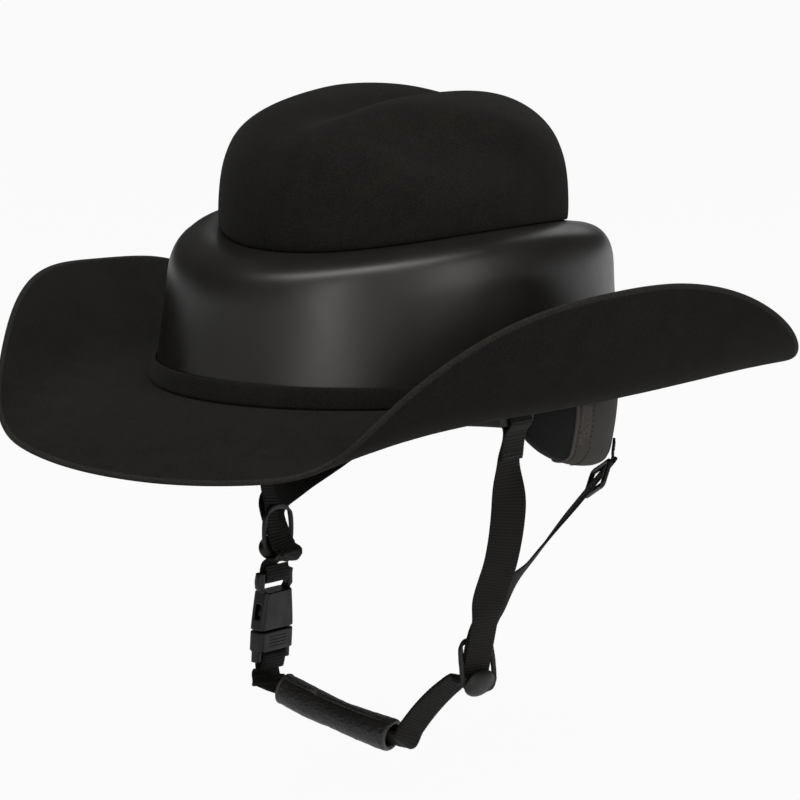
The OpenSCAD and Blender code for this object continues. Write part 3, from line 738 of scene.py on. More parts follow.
def stitch_row(name: str, points: Sequence[Vector], normals: Sequence[Vector], length: float = 2.2 * MM,
               radius: float = 0.22 * MM, along: Vector | None = None) -> Piece:
    """A row of thread stitches that lie on a surface.

    Args:
        name: The new object's name.
        points: The middle of each stitch.
        normals: The surface's normal at each stitch.
        length: The length of a stitch.
        radius: The thread's radius.
        along: The direction of every stitch, or None to follow the row.

    Returns:
        The row as one object.
    """
    bpy.ops.object.select_all(action="DESELECT")
    bpy.ops.mesh.primitive_uv_sphere_add(segments=6, ring_count=5, radius=1)
    model = bpy.context.object
    bpy.ops.transform.resize(value=(length / 2, radius, radius))
    bpy.ops.object.transform_apply(location=False, rotation=False, scale=True)
    verts = [v.co.copy() for v in model.data.vertices]
    faces = [list(p.vertices) for p in model.data.polygons]
    all_verts: list[Vector] = []
    all_faces: list[list[int]] = []
    for i, (point, normal) in enumerate(zip(points, normals)):
        ahead = along or points[min(i + 1, len(points) - 1)] - points[max(i - 1, 0)]
        ahead = (ahead - normal * ahead.dot(normal)).normalized()
        turn = Matrix((ahead, normal.cross(ahead), normal)).transposed()
        base = len(all_verts)
        all_verts += [point + turn @ v for v in verts]
        all_faces += [[base + k for k in face] for face in faces]
    model.data.clear_geometry()
    model.data.from_pydata(all_verts, [], all_faces)
    model.data.update()
    model.name = name
    only(model)
    bpy.ops.object.shade_smooth()
    return model


def closed_sweep(name: str, columns: int, rows: int, spot: Rule,
                 uv: Callable[[float, float], tuple[float, float]] | None = None,
                 capped: bool = True) -> Piece:
    """A closed skin swept from a grid, with its own seam joined and its ends filled.

    Args:
        name: The new object's name.
        columns: Faces along the rule's first value.
        rows: Faces along the rule's second value.
        spot: Gives the place of each point; one of its two values runs round the section.
        uv: Gives the map's place in metres for the same two values, or None to keep them as they are.
        capped: Whether the open ends are filled.

    Returns:
        The new object, with its faces pointing outwards.
    """
    obj = shaped_grid(name, columns, rows, spot)
    if uv:
        for loop in obj.data.uv_layers["UVMap"].data:
            loop.uv = uv(loop.uv[0], loop.uv[1])
    with editing(obj):
        bpy.ops.mesh.remove_doubles(threshold=0.0005 * MM)
        if capped:
            bpy.ops.mesh.fill_holes(sides=0)
        bpy.ops.mesh.select_all(action="SELECT")
        bpy.ops.mesh.normals_make_consistent(inside=False)
    bpy.ops.object.shade_smooth()
    return obj


def islands(obj: Piece) -> list[list[Vector]]:
    """The points of each separate piece of a mesh.

    Args:
        obj: The mesh object.

    Returns:
        One list of points for each piece.
    """
    mesh = bmesh.new()
    mesh.from_mesh(obj.data)
    unseen = set(mesh.verts)
    found: list[list[Vector]] = []
    while unseen:
        wave = [unseen.pop()]
        piece = []
        while wave:
            vertex = wave.pop()
            piece.append(vertex.co.copy())
            for edge in vertex.link_edges:
                other = edge.other_vert(vertex)
                if other in unseen:
                    unseen.remove(other)
                    wave.append(other)
        found.append(piece)
    mesh.free()
    return found


def moulded(obj: Piece, voxel: float, rounds: int) -> Piece:
    """Gives a piece an even skin with every edge soft, as an injection moulding has them.

    Args:
        obj: The piece.
        voxel: The size of the even mesh that it gets.
        rounds: How often its points are relaxed.

    Returns:
        The same piece.
    """
    modify(obj, "REMESH", mode="VOXEL", voxel_size=voxel)
    with editing(obj):
        bpy.ops.mesh.vertices_smooth(factor=0.6, repeat=rounds)
    bpy.ops.object.shade_smooth()
    return obj


def ellipsoid(faces: tuple[int, int], size: Sequence[float], centre: Vector, axes: Sequence[Vector]) -> Piece:
    """Adds an ellipsoid, to be joined to a moulding.

    Args:
        faces: Its segments and its rings.
        size: Its half lengths along its three axes.
        centre: Its middle.
        axes: The directions of its three axes.

    Returns:
        The new object.
    """
    bpy.ops.object.select_all(action="DESELECT")
    bpy.ops.mesh.primitive_uv_sphere_add(segments=faces[0], ring_count=faces[1], radius=1)
    obj = bpy.context.object
    turn = Matrix(axes).transposed()
    for vertex in obj.data.vertices:
        vertex.co = centre + turn @ Vector([vertex.co[i] * size[i] for i in range(3)])
    return obj


def span(node: str) -> tuple[Vector, Vector]:
    """The low and high corners of a CAD node's box."""
    low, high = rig.box(node)
    return Vector(low), Vector(high)


def joint(frame: dict[str, Any], name: str, key: str) -> Vector:
    """A joint's place (pos_m) or direction (axis) in the frame."""
    return Vector(next(j for j in frame["joints"] if j["name"] == name)[key])


def node_rings(frame: dict[str, Any], node: str) -> list[list[Vector]]:
    """The rings of a CAD node, read from a copy that is thrown away."""
    scratch = merged_copy(frame, node, "scratch_" + node, quads=False)
    rings = rings_of(scratch)
    bpy.data.objects.remove(scratch)
    return rings


def rings_of(obj: Piece) -> list[list[Vector]]:
    """Reads the rings of a merged skin from one closed end to the other.

    Args:
        obj: A mesh made of rings of equal size, whose ends are closed by fans.

    Returns:
        The rings, each a list of points.
    """
    mesh = bmesh.new()
    mesh.from_mesh(obj.data)
    mesh.verts.ensure_lookup_table()

    def near(vertex: bmesh.types.BMVert) -> list[bmesh.types.BMVert]:
        """The vertices that share an edge with this one."""
        return [edge.other_vert(vertex) for edge in vertex.link_edges]

    def is_fan(vertex: bmesh.types.BMVert) -> bool:
        """Whether the vertex is the mean of its neighbours, as the middle of a fan is."""
        around = near(vertex)
        middle = sum((v.co for v in around), Vector()) / len(around)
        return (middle - vertex.co).length < 0.003 * MM and all(len(f.verts) == 3 for f in vertex.link_faces)

    start = next(v for v in mesh.verts if is_fan(v))
    seen = {start.index}
    layer = [start]
    rings: list[list[Vector]] = []
    while True:
        found = sorted({v.index for vertex in layer for v in near(vertex)} - seen)
        if len(found) < 2:
            break
        seen |= set(found)
        layer = [mesh.verts[i] for i in found]
        rings.append([v.co.copy() for v in layer])
    mesh.free()
    return rings


def dress(obj: Piece, finish: Finish, body: str, replaces: Iterable[str] = (),
          more: Sequence[Finish] = ()) -> Piece:
    """Gives a finished piece its materials, its body and its slot, and reports it.

    Args:
        obj: The piece.
        finish: Its main finish, which also names its slot.
        body: The CAD body that it rides on.
        replaces: The CAD nodes that it stands for.
        more: Further finishes, for faces that already carry their index.

    Returns:
        The piece.
    """
    zones = [face.material_index for face in obj.data.polygons] if more else [0] * len(obj.data.polygons)
    obj.data.materials.clear()
    for each in (finish, *more):
        obj.data.materials.append(each.material())
    obj.data.polygons.foreach_set("material_index", zones)
    only(obj)
    bpy.ops.object.transform_apply(location=True, rotation=True, scale=True)
    if "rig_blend" not in obj:
        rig.ride(obj, body)
    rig.slot(obj, finish.slot)
    names = list(replaces)
    if names:
        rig.replaces(obj, *names)
    stands_for = ", ".join(names) or "no node"
    LOG.info("%s: %d faces on %s, for %s", obj.name, len(obj.data.polygons), body, stands_for)
    return obj


# ---------------------------------------------------------------------------------------------
# Hat


@dataclass
class Hat:
    """The felt crown, the felt brim, the hard shell between them and the band round its foot."""

    frame: dict[str, Any]
    rim_step: float = 3.0 * MM
    foot_press: float = 0.8 * MM
    foot_reach: float = 8.0 * MM
    ledge_dip: float = 12.0 * MM
    crisp: float = 2.6 * MM
    crisp_smoothing: int = 16
    crisp_at: float = math.radians(40)
    crisp_lean: float = 42.0
    crisp_spread: float = 17.0
    crisp_start: float = 0.05
    seam_at: float = 168.0
    seam_stitches: int = 5

    def build(self) -> None:
        """Makes and dresses the four pieces."""
        self.crown()
        self.shell()
        self.brim()
        self.band()

    def crown(self) -> None:
        """Makes the creased felt crown, whose foot is pressed down on the shell."""
        obj = subdivided(merged_copy(self.frame, "felt_crown", "crown_felt"), 2)
        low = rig.box("felt_crown")[0][2]
        for vertex in obj.data.vertices:
            gap = vertex.co.z - low - self.ledge_dip * (vertex.co.x / (vertex.co.xy.length or 1.0)) ** 2
            vertex.co.z -= self.foot_press * max(0.0, 1 - gap / self.foot_reach)
        dress(obj, FELT, HELMET, ["felt_crown"])

    def shell(self) -> None:
        """Makes the satin shell, and draws its shoulder crisp where it faces forwards and to the left."""
        obj = subdivided(merged_copy(self.frame, "outer_shell", "satin_shell_wall"), 2)
        low, high = span("felt_crown")
        half = (high - low) / 2
        centre = (high + low) / 2
        facing = Vector((math.sin(self.crisp_at), -math.cos(self.crisp_at), 0))
        moves = np.zeros((len(obj.data.vertices), 3))
        for i, vertex in enumerate(obj.data.vertices):
            place, normal = vertex.co - centre, vertex.normal
            beyond = math.hypot(place.x / half.x, place.y / half.y)
            flat = Vector((vertex.co.x, vertex.co.y, 0)).normalized()
            if beyond < 1.0 or normal.dot(flat) < 0 or normal.z < 0:
                continue
            lean = (math.degrees(math.asin(min(1.0, normal.z))) - self.crisp_lean) / self.crisp_spread
            turn = max(0.0, flat.dot(facing))
            start = min(1.0, (beyond - 1) / self.crisp_start)
            moves[i] = normal * (self.crisp * math.exp(-lean * lean) * turn * start)
        edges = np.array([edge.vertices[:] for edge in obj.data.edges])
        ends = np.concatenate((edges, edges[:, ::-1]))
        count = np.bincount(ends[:, 0], minlength=len(moves))[:, None] + 1.0
        for _ in range(self.crisp_smoothing):
            total = moves.copy()
            np.add.at(total, ends[:, 0], moves[ends[:, 1]])
            moves = total / count
        for vertex, move in zip(obj.data.vertices, moves):
            vertex.co += Vector(move)
        dress(obj, SHELL, HELMET, ["outer_shell"])

    def brim(self) -> None:
        """Makes the brim and gives its cut rim a paler face, a painted highlight along the edge."""
        obj = merged_copy(self.frame, "brim", "brim_felt")
        points = obj.data.vertices
        # The narrow rim faces take the paler felt, a painted highlight along the cut edge.
        for face in obj.data.polygons:
            shortest = min((points[a].co - points[b].co).length for a, b in face.edge_keys)
            face.material_index = 1 if shortest < self.rim_step else 0
        subdivided(obj, 2)
        dress(obj, FELT, HELMET, ["brim"], more=[FELT_RIM_HIGHLIGHT])

    def band(self) -> None:
        """Makes the felt band round the foot of the shell, with a stitched butt seam at the rear."""
        obj = subdivided(merged_copy(self.frame, "hat_band", "felt_hat_band"), 2)
        low, high = span("hat_band")
        size = high - low
        turn = math.radians(self.seam_at)
        direction = Vector((math.sin(turn) * size.x, -math.cos(turn) * size.y, 0)).normalized()
        surface = BVHTree.FromObject(obj, bpy.context.evaluated_depsgraph_get())
        points, normals = [], []
        for k in range(self.seam_stitches):
            height = low.z + size.z * (k + 0.5) / self.seam_stitches
            for slope in (-1, 1):
                start = direction * 0.4 + Vector((0, 0, height + slope * 0.3 * MM))
                hit, normal, _, _ = surface.ray_cast(start, -direction)
                points.append(hit)
                normals.append(normal)
        across = Vector((0, 0, 1)).cross(direction)
        seam = stitch_row("hat_band_seam_stitches", points, normals, 3.4 * MM, 0.3 * MM, along=across)
        dress(seam, THREAD_FELT, HELMET)
        dress(obj, FELT, HELMET, ["hat_band"])


# ---------------------------------------------------------------------------------------------
# Lining


def by_turn(ring: Sequence[Vector], out: Vector, up: Vector) -> list[Vector]:
    """Orders a ring's points by their turn round its middle, from the one that lies furthest out.

    Args:
        ring: The points.
        out: The direction at turn 0.
        up: The direction at a quarter turn.

    Returns:
        The points in order.
    """
    middle = sum(ring, Vector()) / len(ring)
    start = math.pi / len(ring) * 2

    def turned(point: Vector) -> float:
        """The point's turn, counted from just before the one furthest out."""
        place = point - middle
        return (math.atan2(place.dot(up), place.dot(out)) + start) % (2 * math.pi)

    return sorted(ring, key=turned)


def on_loop(points: Sequence[Any], place: float, closed: bool = True) -> Any:
    """A smooth curve through points, at a place counted in points.

    Args:
        points: The points, as vectors or arrays.
        place: Where on the curve, from 0.
        closed: Whether the last point joins the first.

    Returns:
        The point there.
    """
    count = len(points)
    k = math.floor(place)
    if not closed:
        k = max(0, min(count - 2, k))
    f = place - k

    def pick(i: int) -> Any:
        """The point with that number, round the loop or held at the ends."""
        return points[i % count] if closed else points[max(0, min(count - 1, i))]

    a, b, c, d = pick(k - 1), pick(k), pick(k + 1), pick(k + 2)
    bend = (a * 2 - b * 5 + c * 4 - d) * (f * f)
    return b + ((c - a) * f + bend + (b * 3 - a - c * 3 + d) * (f * f * f)) * 0.5


def puffed(obj: Piece, held: Callable[[Vector], bool], cap: float, voxel: float | None = None,
           pressure: float = 4.0, frames: int = 20) -> Piece:
    """Args:
        obj: The pad.
        held: Says which points are sewn down.
        cap: How far a point may move.
        voxel: The size of the even mesh that the pad gets first, or None to keep its own.
        pressure: The air pressure inside.
        frames: The length of the simulation.

    Returns:
        The same pad.
    """
    if voxel:
        modify(obj, "REMESH", mode="VOXEL", voxel_size=voxel)
    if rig.quick():
        return obj
    before = [v.co.copy() for v in obj.data.vertices]
    group = obj.vertex_groups.new(name="sewn")
    sewn = [v.index for v in obj.data.vertices if held(v.co)]
    group.add(sewn, 1.0, "REPLACE")
    only(obj)
    swell = obj.modifiers.new("swell", "CLOTH")
    swell.settings.quality = 4
    swell.settings.mass = 0.15
    swell.settings.use_pressure = True
    swell.settings.uniform_pressure_force = pressure
    swell.settings.effector_weights.gravity = 0
    swell.settings.vertex_group_mass = group.name
    swell.collision_settings.use_collision = False
    swell.collision_settings.use_self_collision = False
    swell.point_cache.frame_start, swell.point_cache.frame_end = 1, frames
    for frame in range(1, frames + 1):
        bpy.context.scene.frame_set(frame)
    bpy.ops.object.modifier_apply(modifier=swell.name)
    for vertex, was in zip(obj.data.vertices, before):
        step = vertex.co - was
        if step.length > cap:
            vertex.co = was + step * (cap / step.length)
    bpy.context.scene.frame_set(1)
    obj.vertex_groups.clear()
    return obj


@dataclass
class Lining:
    """The foam liner with its sweatband and comfort pads on touch-fastener dots."""

    frame: dict[str, Any]
    pad_cap: float = 1.1 * MM
    pad_voxel: float = 2.0 * MM
    welt: float = 0.95 * MM
    channel_depth: float = 1.3 * MM
    channel_width: float = 3.0 * MM
    roll: float = 1.5 * MM
    sewn_edge: float = 3.4 * MM
    quilt_at: float = 0.5
    quilt_width: float = 0.07

    def build(self) -> None:
        """Makes and dresses every piece inside the shell."""
        self.foam()
        self.dots()
        self.sweatband()
        for node in ("front_pad", "rear_pad", "side_pad_left", "side_pad_right"):
            self.comfort_pad(node)
        self.crown_pad()

    def foam(self) -> None:
        """Makes the moulded bead-foam liner."""
        obj = subdivided(merged_copy(self.frame, "foam_liner", "bead_foam_liner"), 1)
        dress(obj, FOAM, HELMET, ["foam_liner"])

    def dots(self) -> None:
        """Makes the touch-fastener dots behind the pads."""
        obj = bevelled_copy(self.frame, "hook_loop_dots", "touch_fastener_dots", 0.15 * MM, 2)
        dress(obj, HOOKS, HELMET, ["hook_loop_dots"])

    def sweatband(self) -> None:
        """Makes the leather sweatband: an oval strip with a rolled foot, a turned top and a stitch row."""
        low, high = span("sweatband")
        half = (high - low) / 2
        centre = (high + low) / 2
        wall = 1.6 * MM
        profile = [(0.0, half.z), (-wall * 0.5, half.z + 0.2 * MM), (-wall, half.z - 0.3 * MM)]
        profile += [(-wall * 0.85, half.z * f) for f in (0.6, 0.2, -0.2, -0.6)]
        foot, roll = -half.z, self.roll
        profile += [(-wall - roll * 0.3, foot + roll * 1.4), (-wall - roll * 0.5, foot + roll * 0.7),
                    (-wall * 0.6, foot), (-wall * 0.1, foot + roll * 0.6), (-wall * 0.1, foot + roll * 1.6)]
        profile += [(-wall * 0.15, half.z * f) for f in (-0.5, 0.0, 0.5)]
        points = [Vector((out, 0, height)) for out, height in profile]

        def spot(u: float, v: float) -> Vector:
            """A point of the band."""
            turn = 2 * math.pi * u
            at = on_loop(points, v * len(points))
            wide, long = half.x + at.x, half.y + at.x
            return centre + Vector((math.sin(turn) * wide, -math.cos(turn) * long, at.z))

        obj = closed_sweep("leather_sweatband", 120, 40, spot, capped=False)
        dress(obj, SWEAT, HELMET, ["sweatband"])
        count = 150
        turns = [2 * math.pi * k / count for k in range(count)]
        inside = half.xy - Vector((wall, wall)) - Vector((0.05 * MM, 0.05 * MM))
        row_z = half.z - 3 * MM
        stitches = [centre + Vector((math.sin(t) * inside.x, -math.cos(t) * inside.y, row_z)) for t in turns]
        normals = [Vector((-math.sin(t), math.cos(t), 0)) for t in turns]
        dress(stitch_row("sweatband_stitches", stitches, normals, 3.0 * MM, 0.28 * MM), THREAD, HELMET)

    def comfort_pad(self, node: str) -> None:
        """Makes one knit-covered pad with a piped edge and two sewn channels.

        Args:
            node: The pad's CAD node.
        """
        rings = node_rings(self.frame, node)
        top = [max(ring, key=lambda p: p.z) for ring in rings]
        foot = [min(ring, key=lambda p: p.z) for ring in rings]
        outline = top + foot[::-1]
        obj = subdivided(merged_copy(self.frame, node, node + "_cushion"), 1)
        loop = [on_loop(outline, k / 2) for k in range(2 * len(outline))]

        def held(point: Vector) -> bool:
            """Whether the point lies on the pad's sewn edge."""
            return min((point - p).length for p in loop) < self.sewn_edge

        puffed(obj, held, self.pad_cap, self.pad_voxel)
        middle = sum(outline, Vector()) / len(outline)
        away = Vector((middle.x, middle.y, 0)).normalized()
        along = Vector((-away.y, away.x, 0))
        reach = max(abs((p - middle).dot(along)) for p in outline)
        channels = (-reach * 0.36, reach * 0.36)
        for vertex in obj.data.vertices:
            side = (vertex.co - middle).dot(along)
            inner = vertex.normal.dot(-away) > 0
            for channel in channels if inner else ():
                press = math.exp(-((side - channel) / self.channel_width) ** 2)
                vertex.co -= vertex.normal * (self.channel_depth * press)
        subdivided(obj, 1)
        dress(obj, PAD_KNIT, HELMET, [node])
        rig.padded(obj, fill=0.7)
        piping = tube(node + "_piping", loop, self.welt, closed=True)
        surface = BVHTree.FromObject(obj, bpy.context.evaluated_depsgraph_get())
        rows: list[Piece] = []
        for channel in channels:
            points, normals = [], []
            for k in range(-8, 9):
                start = middle - away * 0.03 + along * channel + Vector((0, 0, k * 2.6 * MM))
                hit, normal, _, _ = surface.ray_cast(start, away)
                if hit is not None and (hit - middle).length < reach and normal.dot(away) < -0.3:
                    points.append(hit)
                    normals.append(normal)
            if len(points) > 2:
                rows.append(stitch_row("row", points, normals, 2.0 * MM, 0.22 * MM))
        dress(joined(node + "_piping", [piping, *rows]), PAD_WELT, HELMET)

    def crown_pad(self) -> None:
        """Makes the thin oval cushion at the top of the cavity."""
        rings = node_rings(self.frame, "crown_pad")
        outer = max(rings, key=lambda ring: sum(p.xy.length for p in ring))
        outline = by_turn(outer, Vector((1, 0, 0)), Vector((0, 1, 0)))
        obj = subdivided(merged_copy(self.frame, "crown_pad", "crown_pad_cushion"), 1)

        def held(point: Vector) -> bool:
            """Whether the point lies on the sewn edge."""
            return min((point - p).length for p in outline) < self.sewn_edge

        puffed(obj, held, self.pad_cap, self.pad_voxel)
        radius = sum(p.xy.length for p in outline) / len(outline)
        for vertex in obj.data.vertices:
            share = vertex.co.xy.length / radius
            if vertex.normal.z < 0:
                press = math.exp(-((share - self.quilt_at) / self.quilt_width) ** 2)
                vertex.co -= vertex.normal * (self.channel_depth * press)
        subdivided(obj, 1)
        dress(obj, PAD_KNIT, HELMET, ["crown_pad"])
        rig.padded(obj, fill=0.6)
        dress(tube("crown_pad_piping", outline, self.welt, closed=True), PAD_WELT, HELMET)


# ---------------------------------------------------------------------------------------------
# Clamp rings


@dataclass
class Clamp:
    """The two rings that hold the brim, and the rivets that join them."""

    frame: dict[str, Any]
    dome: float = 0.9 * MM

    def build(self) -> None:
        """Makes and dresses the rings and the rivets."""
        for node in ("clamp_ring_upper", "clamp_ring_lower"):
            obj = bevelled_copy(self.frame, node, node + "_moulding", 0.55 * MM)
            dress(obj, NYLON, HELMET, [node])
        self.rivets()

    def rivets(self) -> None:
        """Models one domed rivet and copies it to every place of the CAD node."""
        scratch = merged_copy(self.frame, "ring_rivets", "rivet_scratch", quads=False)
        places = islands(scratch)
        bpy.data.objects.remove(scratch)
        low, high = span("ring_rivets")
        widest = max((max(p.x for p in place) - min(p.x for p in place)) for place in places)
        head_z = low.z + 1.4 * MM
        radius = widest / 2
        bpy.ops.object.select_all(action="DESELECT")
        bpy.ops.mesh.primitive_cylinder_add(vertices=28, radius=radius, depth=head_z - low.z,
                                            location=(0, 0, (head_z + low.z) / 2))
        head = bpy.context.object
        bpy.ops.object.transform_apply(location=True, rotation=True, scale=True)
        with editing(head):
            bpy.ops.mesh.select_all(action="DESELECT")
        for face in head.data.polygons:
            face.select = face.normal.z < -0.9
        bpy.ops.object.mode_set(mode="EDIT")
        for step in range(3):
            bpy.ops.mesh.inset(thickness=radius * 0.24, depth=0.0)
            bpy.ops.transform.translate(value=(0, 0, -self.dome * (0.5, 0.33, 0.17)[step]))
        bpy.ops.object.mode_set(mode="OBJECT")
        modify(head, "BEVEL", width=0.3 * MM, segments=2, limit_method="ANGLE", angle_limit=math.radians(40))
        bpy.ops.object.select_all(action="DESELECT")
        bpy.ops.mesh.primitive_cylinder_add(vertices=20, radius=radius * 0.54, depth=high.z - head_z,
                                            location=(0, 0, (high.z + head_z) / 2))
        shank = bpy.context.object
        model = joined("rivet_model", [head, shank])
        copies: list[Piece] = []
        for place in places:
            middle = sum(place, Vector()) / len(place)
            copy = model.copy()
            copy.data = model.data.copy()
            bpy.context.scene.collection.objects.link(copy)
            copy.location = (middle.x, middle.y, 0)
            copies.append(copy)
        bpy.data.objects.remove(model)
        obj = joined("domed_ring_rivets", copies)
        only(obj)
        bpy.ops.object.shade_smooth_by_angle(angle=math.radians(35))
        dress(obj, RIVET, HELMET, ["ring_rivets"])


# ---------------------------------------------------------------------------------------------
# Nape pad


@dataclass
class NapePad:
    """The padded skirt under the rear half of the ring: dark wings, a bound edge, mesh and knit."""

    frame: dict[str, Any]
    wing_end: float = 86.0
    binding_at: float = 101.5
    mesh_from: float = 103.5
    seam_at: float = 107.5
    rear_seam_at: float = 146.0
    forward: float = 6.5
    forward_below: float = 0.30
    forward_power: float = 1.6
    forward_fades: float = 20.0
    zone_faces: tuple[int, ...] = (12, 2, 4, 28, 26)
    mesh_above: float = 0.42
    around: int = 56
    cap: float = 1.6 * MM
    binding: float = 1.0 * MM
    channels: tuple[float, ...] = (128.0, 152.0)
    foot_rise: tuple[tuple[float, float], ...] = (
        (86, 6.5), (90, 5), (94, 3.4), (98, 2), (103, 0.7), (109, -0.8), (116, -2.2), (125, -2.8),
        (150, -2.8), (180, -1.5))

    def columns(self) -> list[float]:
        """The angles of the grid's lines from the left wing's tip to the right one's."""
        left: list[float] = []
        stops = (self.wing_end, self.binding_at, self.mesh_from, self.seam_at, self.rear_seam_at, 180.0)
        for start, end, faces in zip(stops, stops[1:], self.zone_faces):
            left += list(np.linspace(start, end, faces + 1)[:-1])
        return left + [180.0] + [360 - t for t in reversed(left)]

    def lead(self, share: float) -> float:
        """How far the grid's lines run forward, in degrees, at a share of the pad's height."""
        return self.forward * max(0.0, 1 - share / self.forward_below) ** self.forward_power

    def build(self) -> None:
        """Makes and dresses the pad and its binding."""
        rings = node_rings(self.frame, "nape_pad")
        low, high = span("nape_pad")
        shell_low, shell_high = span("outer_shell")
        half_wide, half_long = (shell_high.x - shell_low.x) / 2, (shell_high.y - shell_low.y) / 2
        ordered: list[list[Vector]] = []
        for ring in rings:
            middle = sum(ring, Vector()) / len(ring)
            out = Vector((middle.x, middle.y, 0)).normalized()
            ordered.append(by_turn(ring, out, Vector((0, 0, 1))))
        if sum(ordered[0], Vector()).x < 0:
            ordered.reverse()
        turns = []
        for ring in ordered:
            middle = sum(ring, Vector()) / len(ring)
            turns.append(math.degrees(math.atan2(middle.x / half_wide, -middle.y / half_long)) % 360)
        lines = self.columns()
        tall = high.z - low.z

        def point(turn: float, v: float) -> Vector:
            """The pad's surface at an angle and a share of the way round its section."""
            place = float(np.interp(turn, turns, range(len(turns))))
            first = max(0, int(place) - 1)
            section = [on_loop(ring, v * len(ring)) for ring in ordered[first:int(place) + 3]]
            at = on_loop(section, place - first, closed=False)
            rise = float(np.interp(min(turn, 360 - turn), *zip(*self.foot_rise))) * MM
            return at + Vector((0, 0, rise * max(0.0, 1 - (at.z - low.z) / tall) ** 1.4))

        def moved(turn: float, v: float) -> float:
            """The angle of a grid line, which runs forward near the pad's foot."""
            share = (point(turn, v).z - low.z) / tall
            side = min(turn, 360 - turn)
            most_at = self.seam_at - 3
            if side > most_at:
                near = max(0.0, 1 - abs(side - most_at) / self.forward_fades)
            else:
                near = max(0.0, (side - self.wing_end) / (most_at - self.wing_end))
            step = -self.lead(share) * near
            return turn + (step if turn < 180 else -step)

        def spot(u: float, v: float) -> Vector:
            """A point of the pad."""
            turn = lines[round(u * (len(lines) - 1))]
            return point(moved(turn, v), v)

        obj = closed_sweep("nape_pad_cushion", len(lines) - 1, self.around, spot)
        self.zone(obj, lines)
        seams = [self.binding_at, self.seam_at, self.rear_seam_at, 180.0, *self.channels]
        seams += [360 - t for t in seams]

        def held(at: Vector) -> bool:
            """Whether the point lies on a seam, or along the top edge."""
            if at.z > high.z - 3 * MM:
                return True
            turn = math.degrees(math.atan2(at.x / half_wide, -at.y / half_long)) % 360
            share = (at.z - low.z) / tall
            reach = self.lead(share)
            shifted = turn + (reach if turn < 180 else -reach)
            return any(abs((shifted if min(s, 360 - s) < 112 else turn) - s) < 0.75 for s in seams)

        puffed(obj, held, self.cap, pressure=5.0)
        modify(obj, "SUBSURF", levels=1, render_levels=1)
        dress(obj, NAPE_KNIT, HELMET, ["nape_pad"], more=[NAPE_WING, NAPE_MESH])
        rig.padded(obj, fill=0.8)
        self.bind(point, moved)

    def zone(self, obj: Piece, lines: list[float]) -> None:
        """Gives each face the finish of its zone, by its place in the grid.

        Args:
            obj: The pad.
            lines: The angles of the grid's lines.
        """
        low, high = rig.box("nape_pad")
        uv = obj.data.uv_layers["UVMap"].data
        for face in obj.data.polygons:
            u = sum(uv[i].uv[0] for i in face.loop_indices) / face.loop_total
            turn = float(np.interp(u * (len(lines) - 1), range(len(lines)), lines))
            side = min(turn, 360 - turn)
            share = (face.center.z - low[2]) / (high[2] - low[2])
            outer = face.normal.dot(Vector((face.center.x, face.center.y, 0))) > 0
            if side < self.binding_at:
                face.material_index = 1
            elif self.mesh_from < side < self.seam_at and share > self.mesh_above and outer:
                face.material_index = 2
            else:
                face.material_index = 0

    def bind(self, point: Rule, moved: Callable[[float, float], float]) -> None:
        """Makes the bound edges between wing and rear and the seams' stitches.

        Args:
            point: Gives the pad's surface at an angle and a share round its section.
            moved: Gives the angle of a grid line at a share round its section.
        """
        parts: list[Piece] = []
        for side in Side:
            flip = (lambda t: t) if side is Side.LEFT else (lambda t: 360 - t)
            turn = flip(self.binding_at)
            loop = [point(moved(turn, k / 40), k / 40) for k in range(40)]
            parts.append(tube("binding", loop, self.binding, closed=True))
        dress(joined("nape_pad_binding", parts), BINDING, HELMET)
        rows: list[Piece] = []
        for side in Side:
            for at in (self.seam_at + 0.9, self.binding_at + 1.5):
                turn = at if side is Side.LEFT else 360 - at
                # The outer face runs from the top, a quarter turn, down to the foot
                shares = np.linspace(0.20, -0.24, 34)
                points = [point(moved(turn, float(v) % 1), float(v) % 1) for v in shares]
                beside = [point(moved(turn + 0.5, float(v) % 1), float(v) % 1) for v in shares]
                normals = []
                for k, here in enumerate(points):
                    ahead = points[min(k + 1, len(points) - 1)] - points[max(0, k - 1)]
                    normal = (beside[k] - here).cross(ahead).normalized()
                    normals.append(normal if normal.dot(Vector((here.x, here.y, 0))) > 0 else -normal)
                points = [p + n * 0.35 * MM for p, n in zip(points, normals)]
                rows.append(stitch_row("row", points, normals, 1.5 * MM, 0.2 * MM))
        dress(joined("nape_pad_stitches", rows), THREAD, HELMET)


# ---------------------------------------------------------------------------------------------
# Webbing


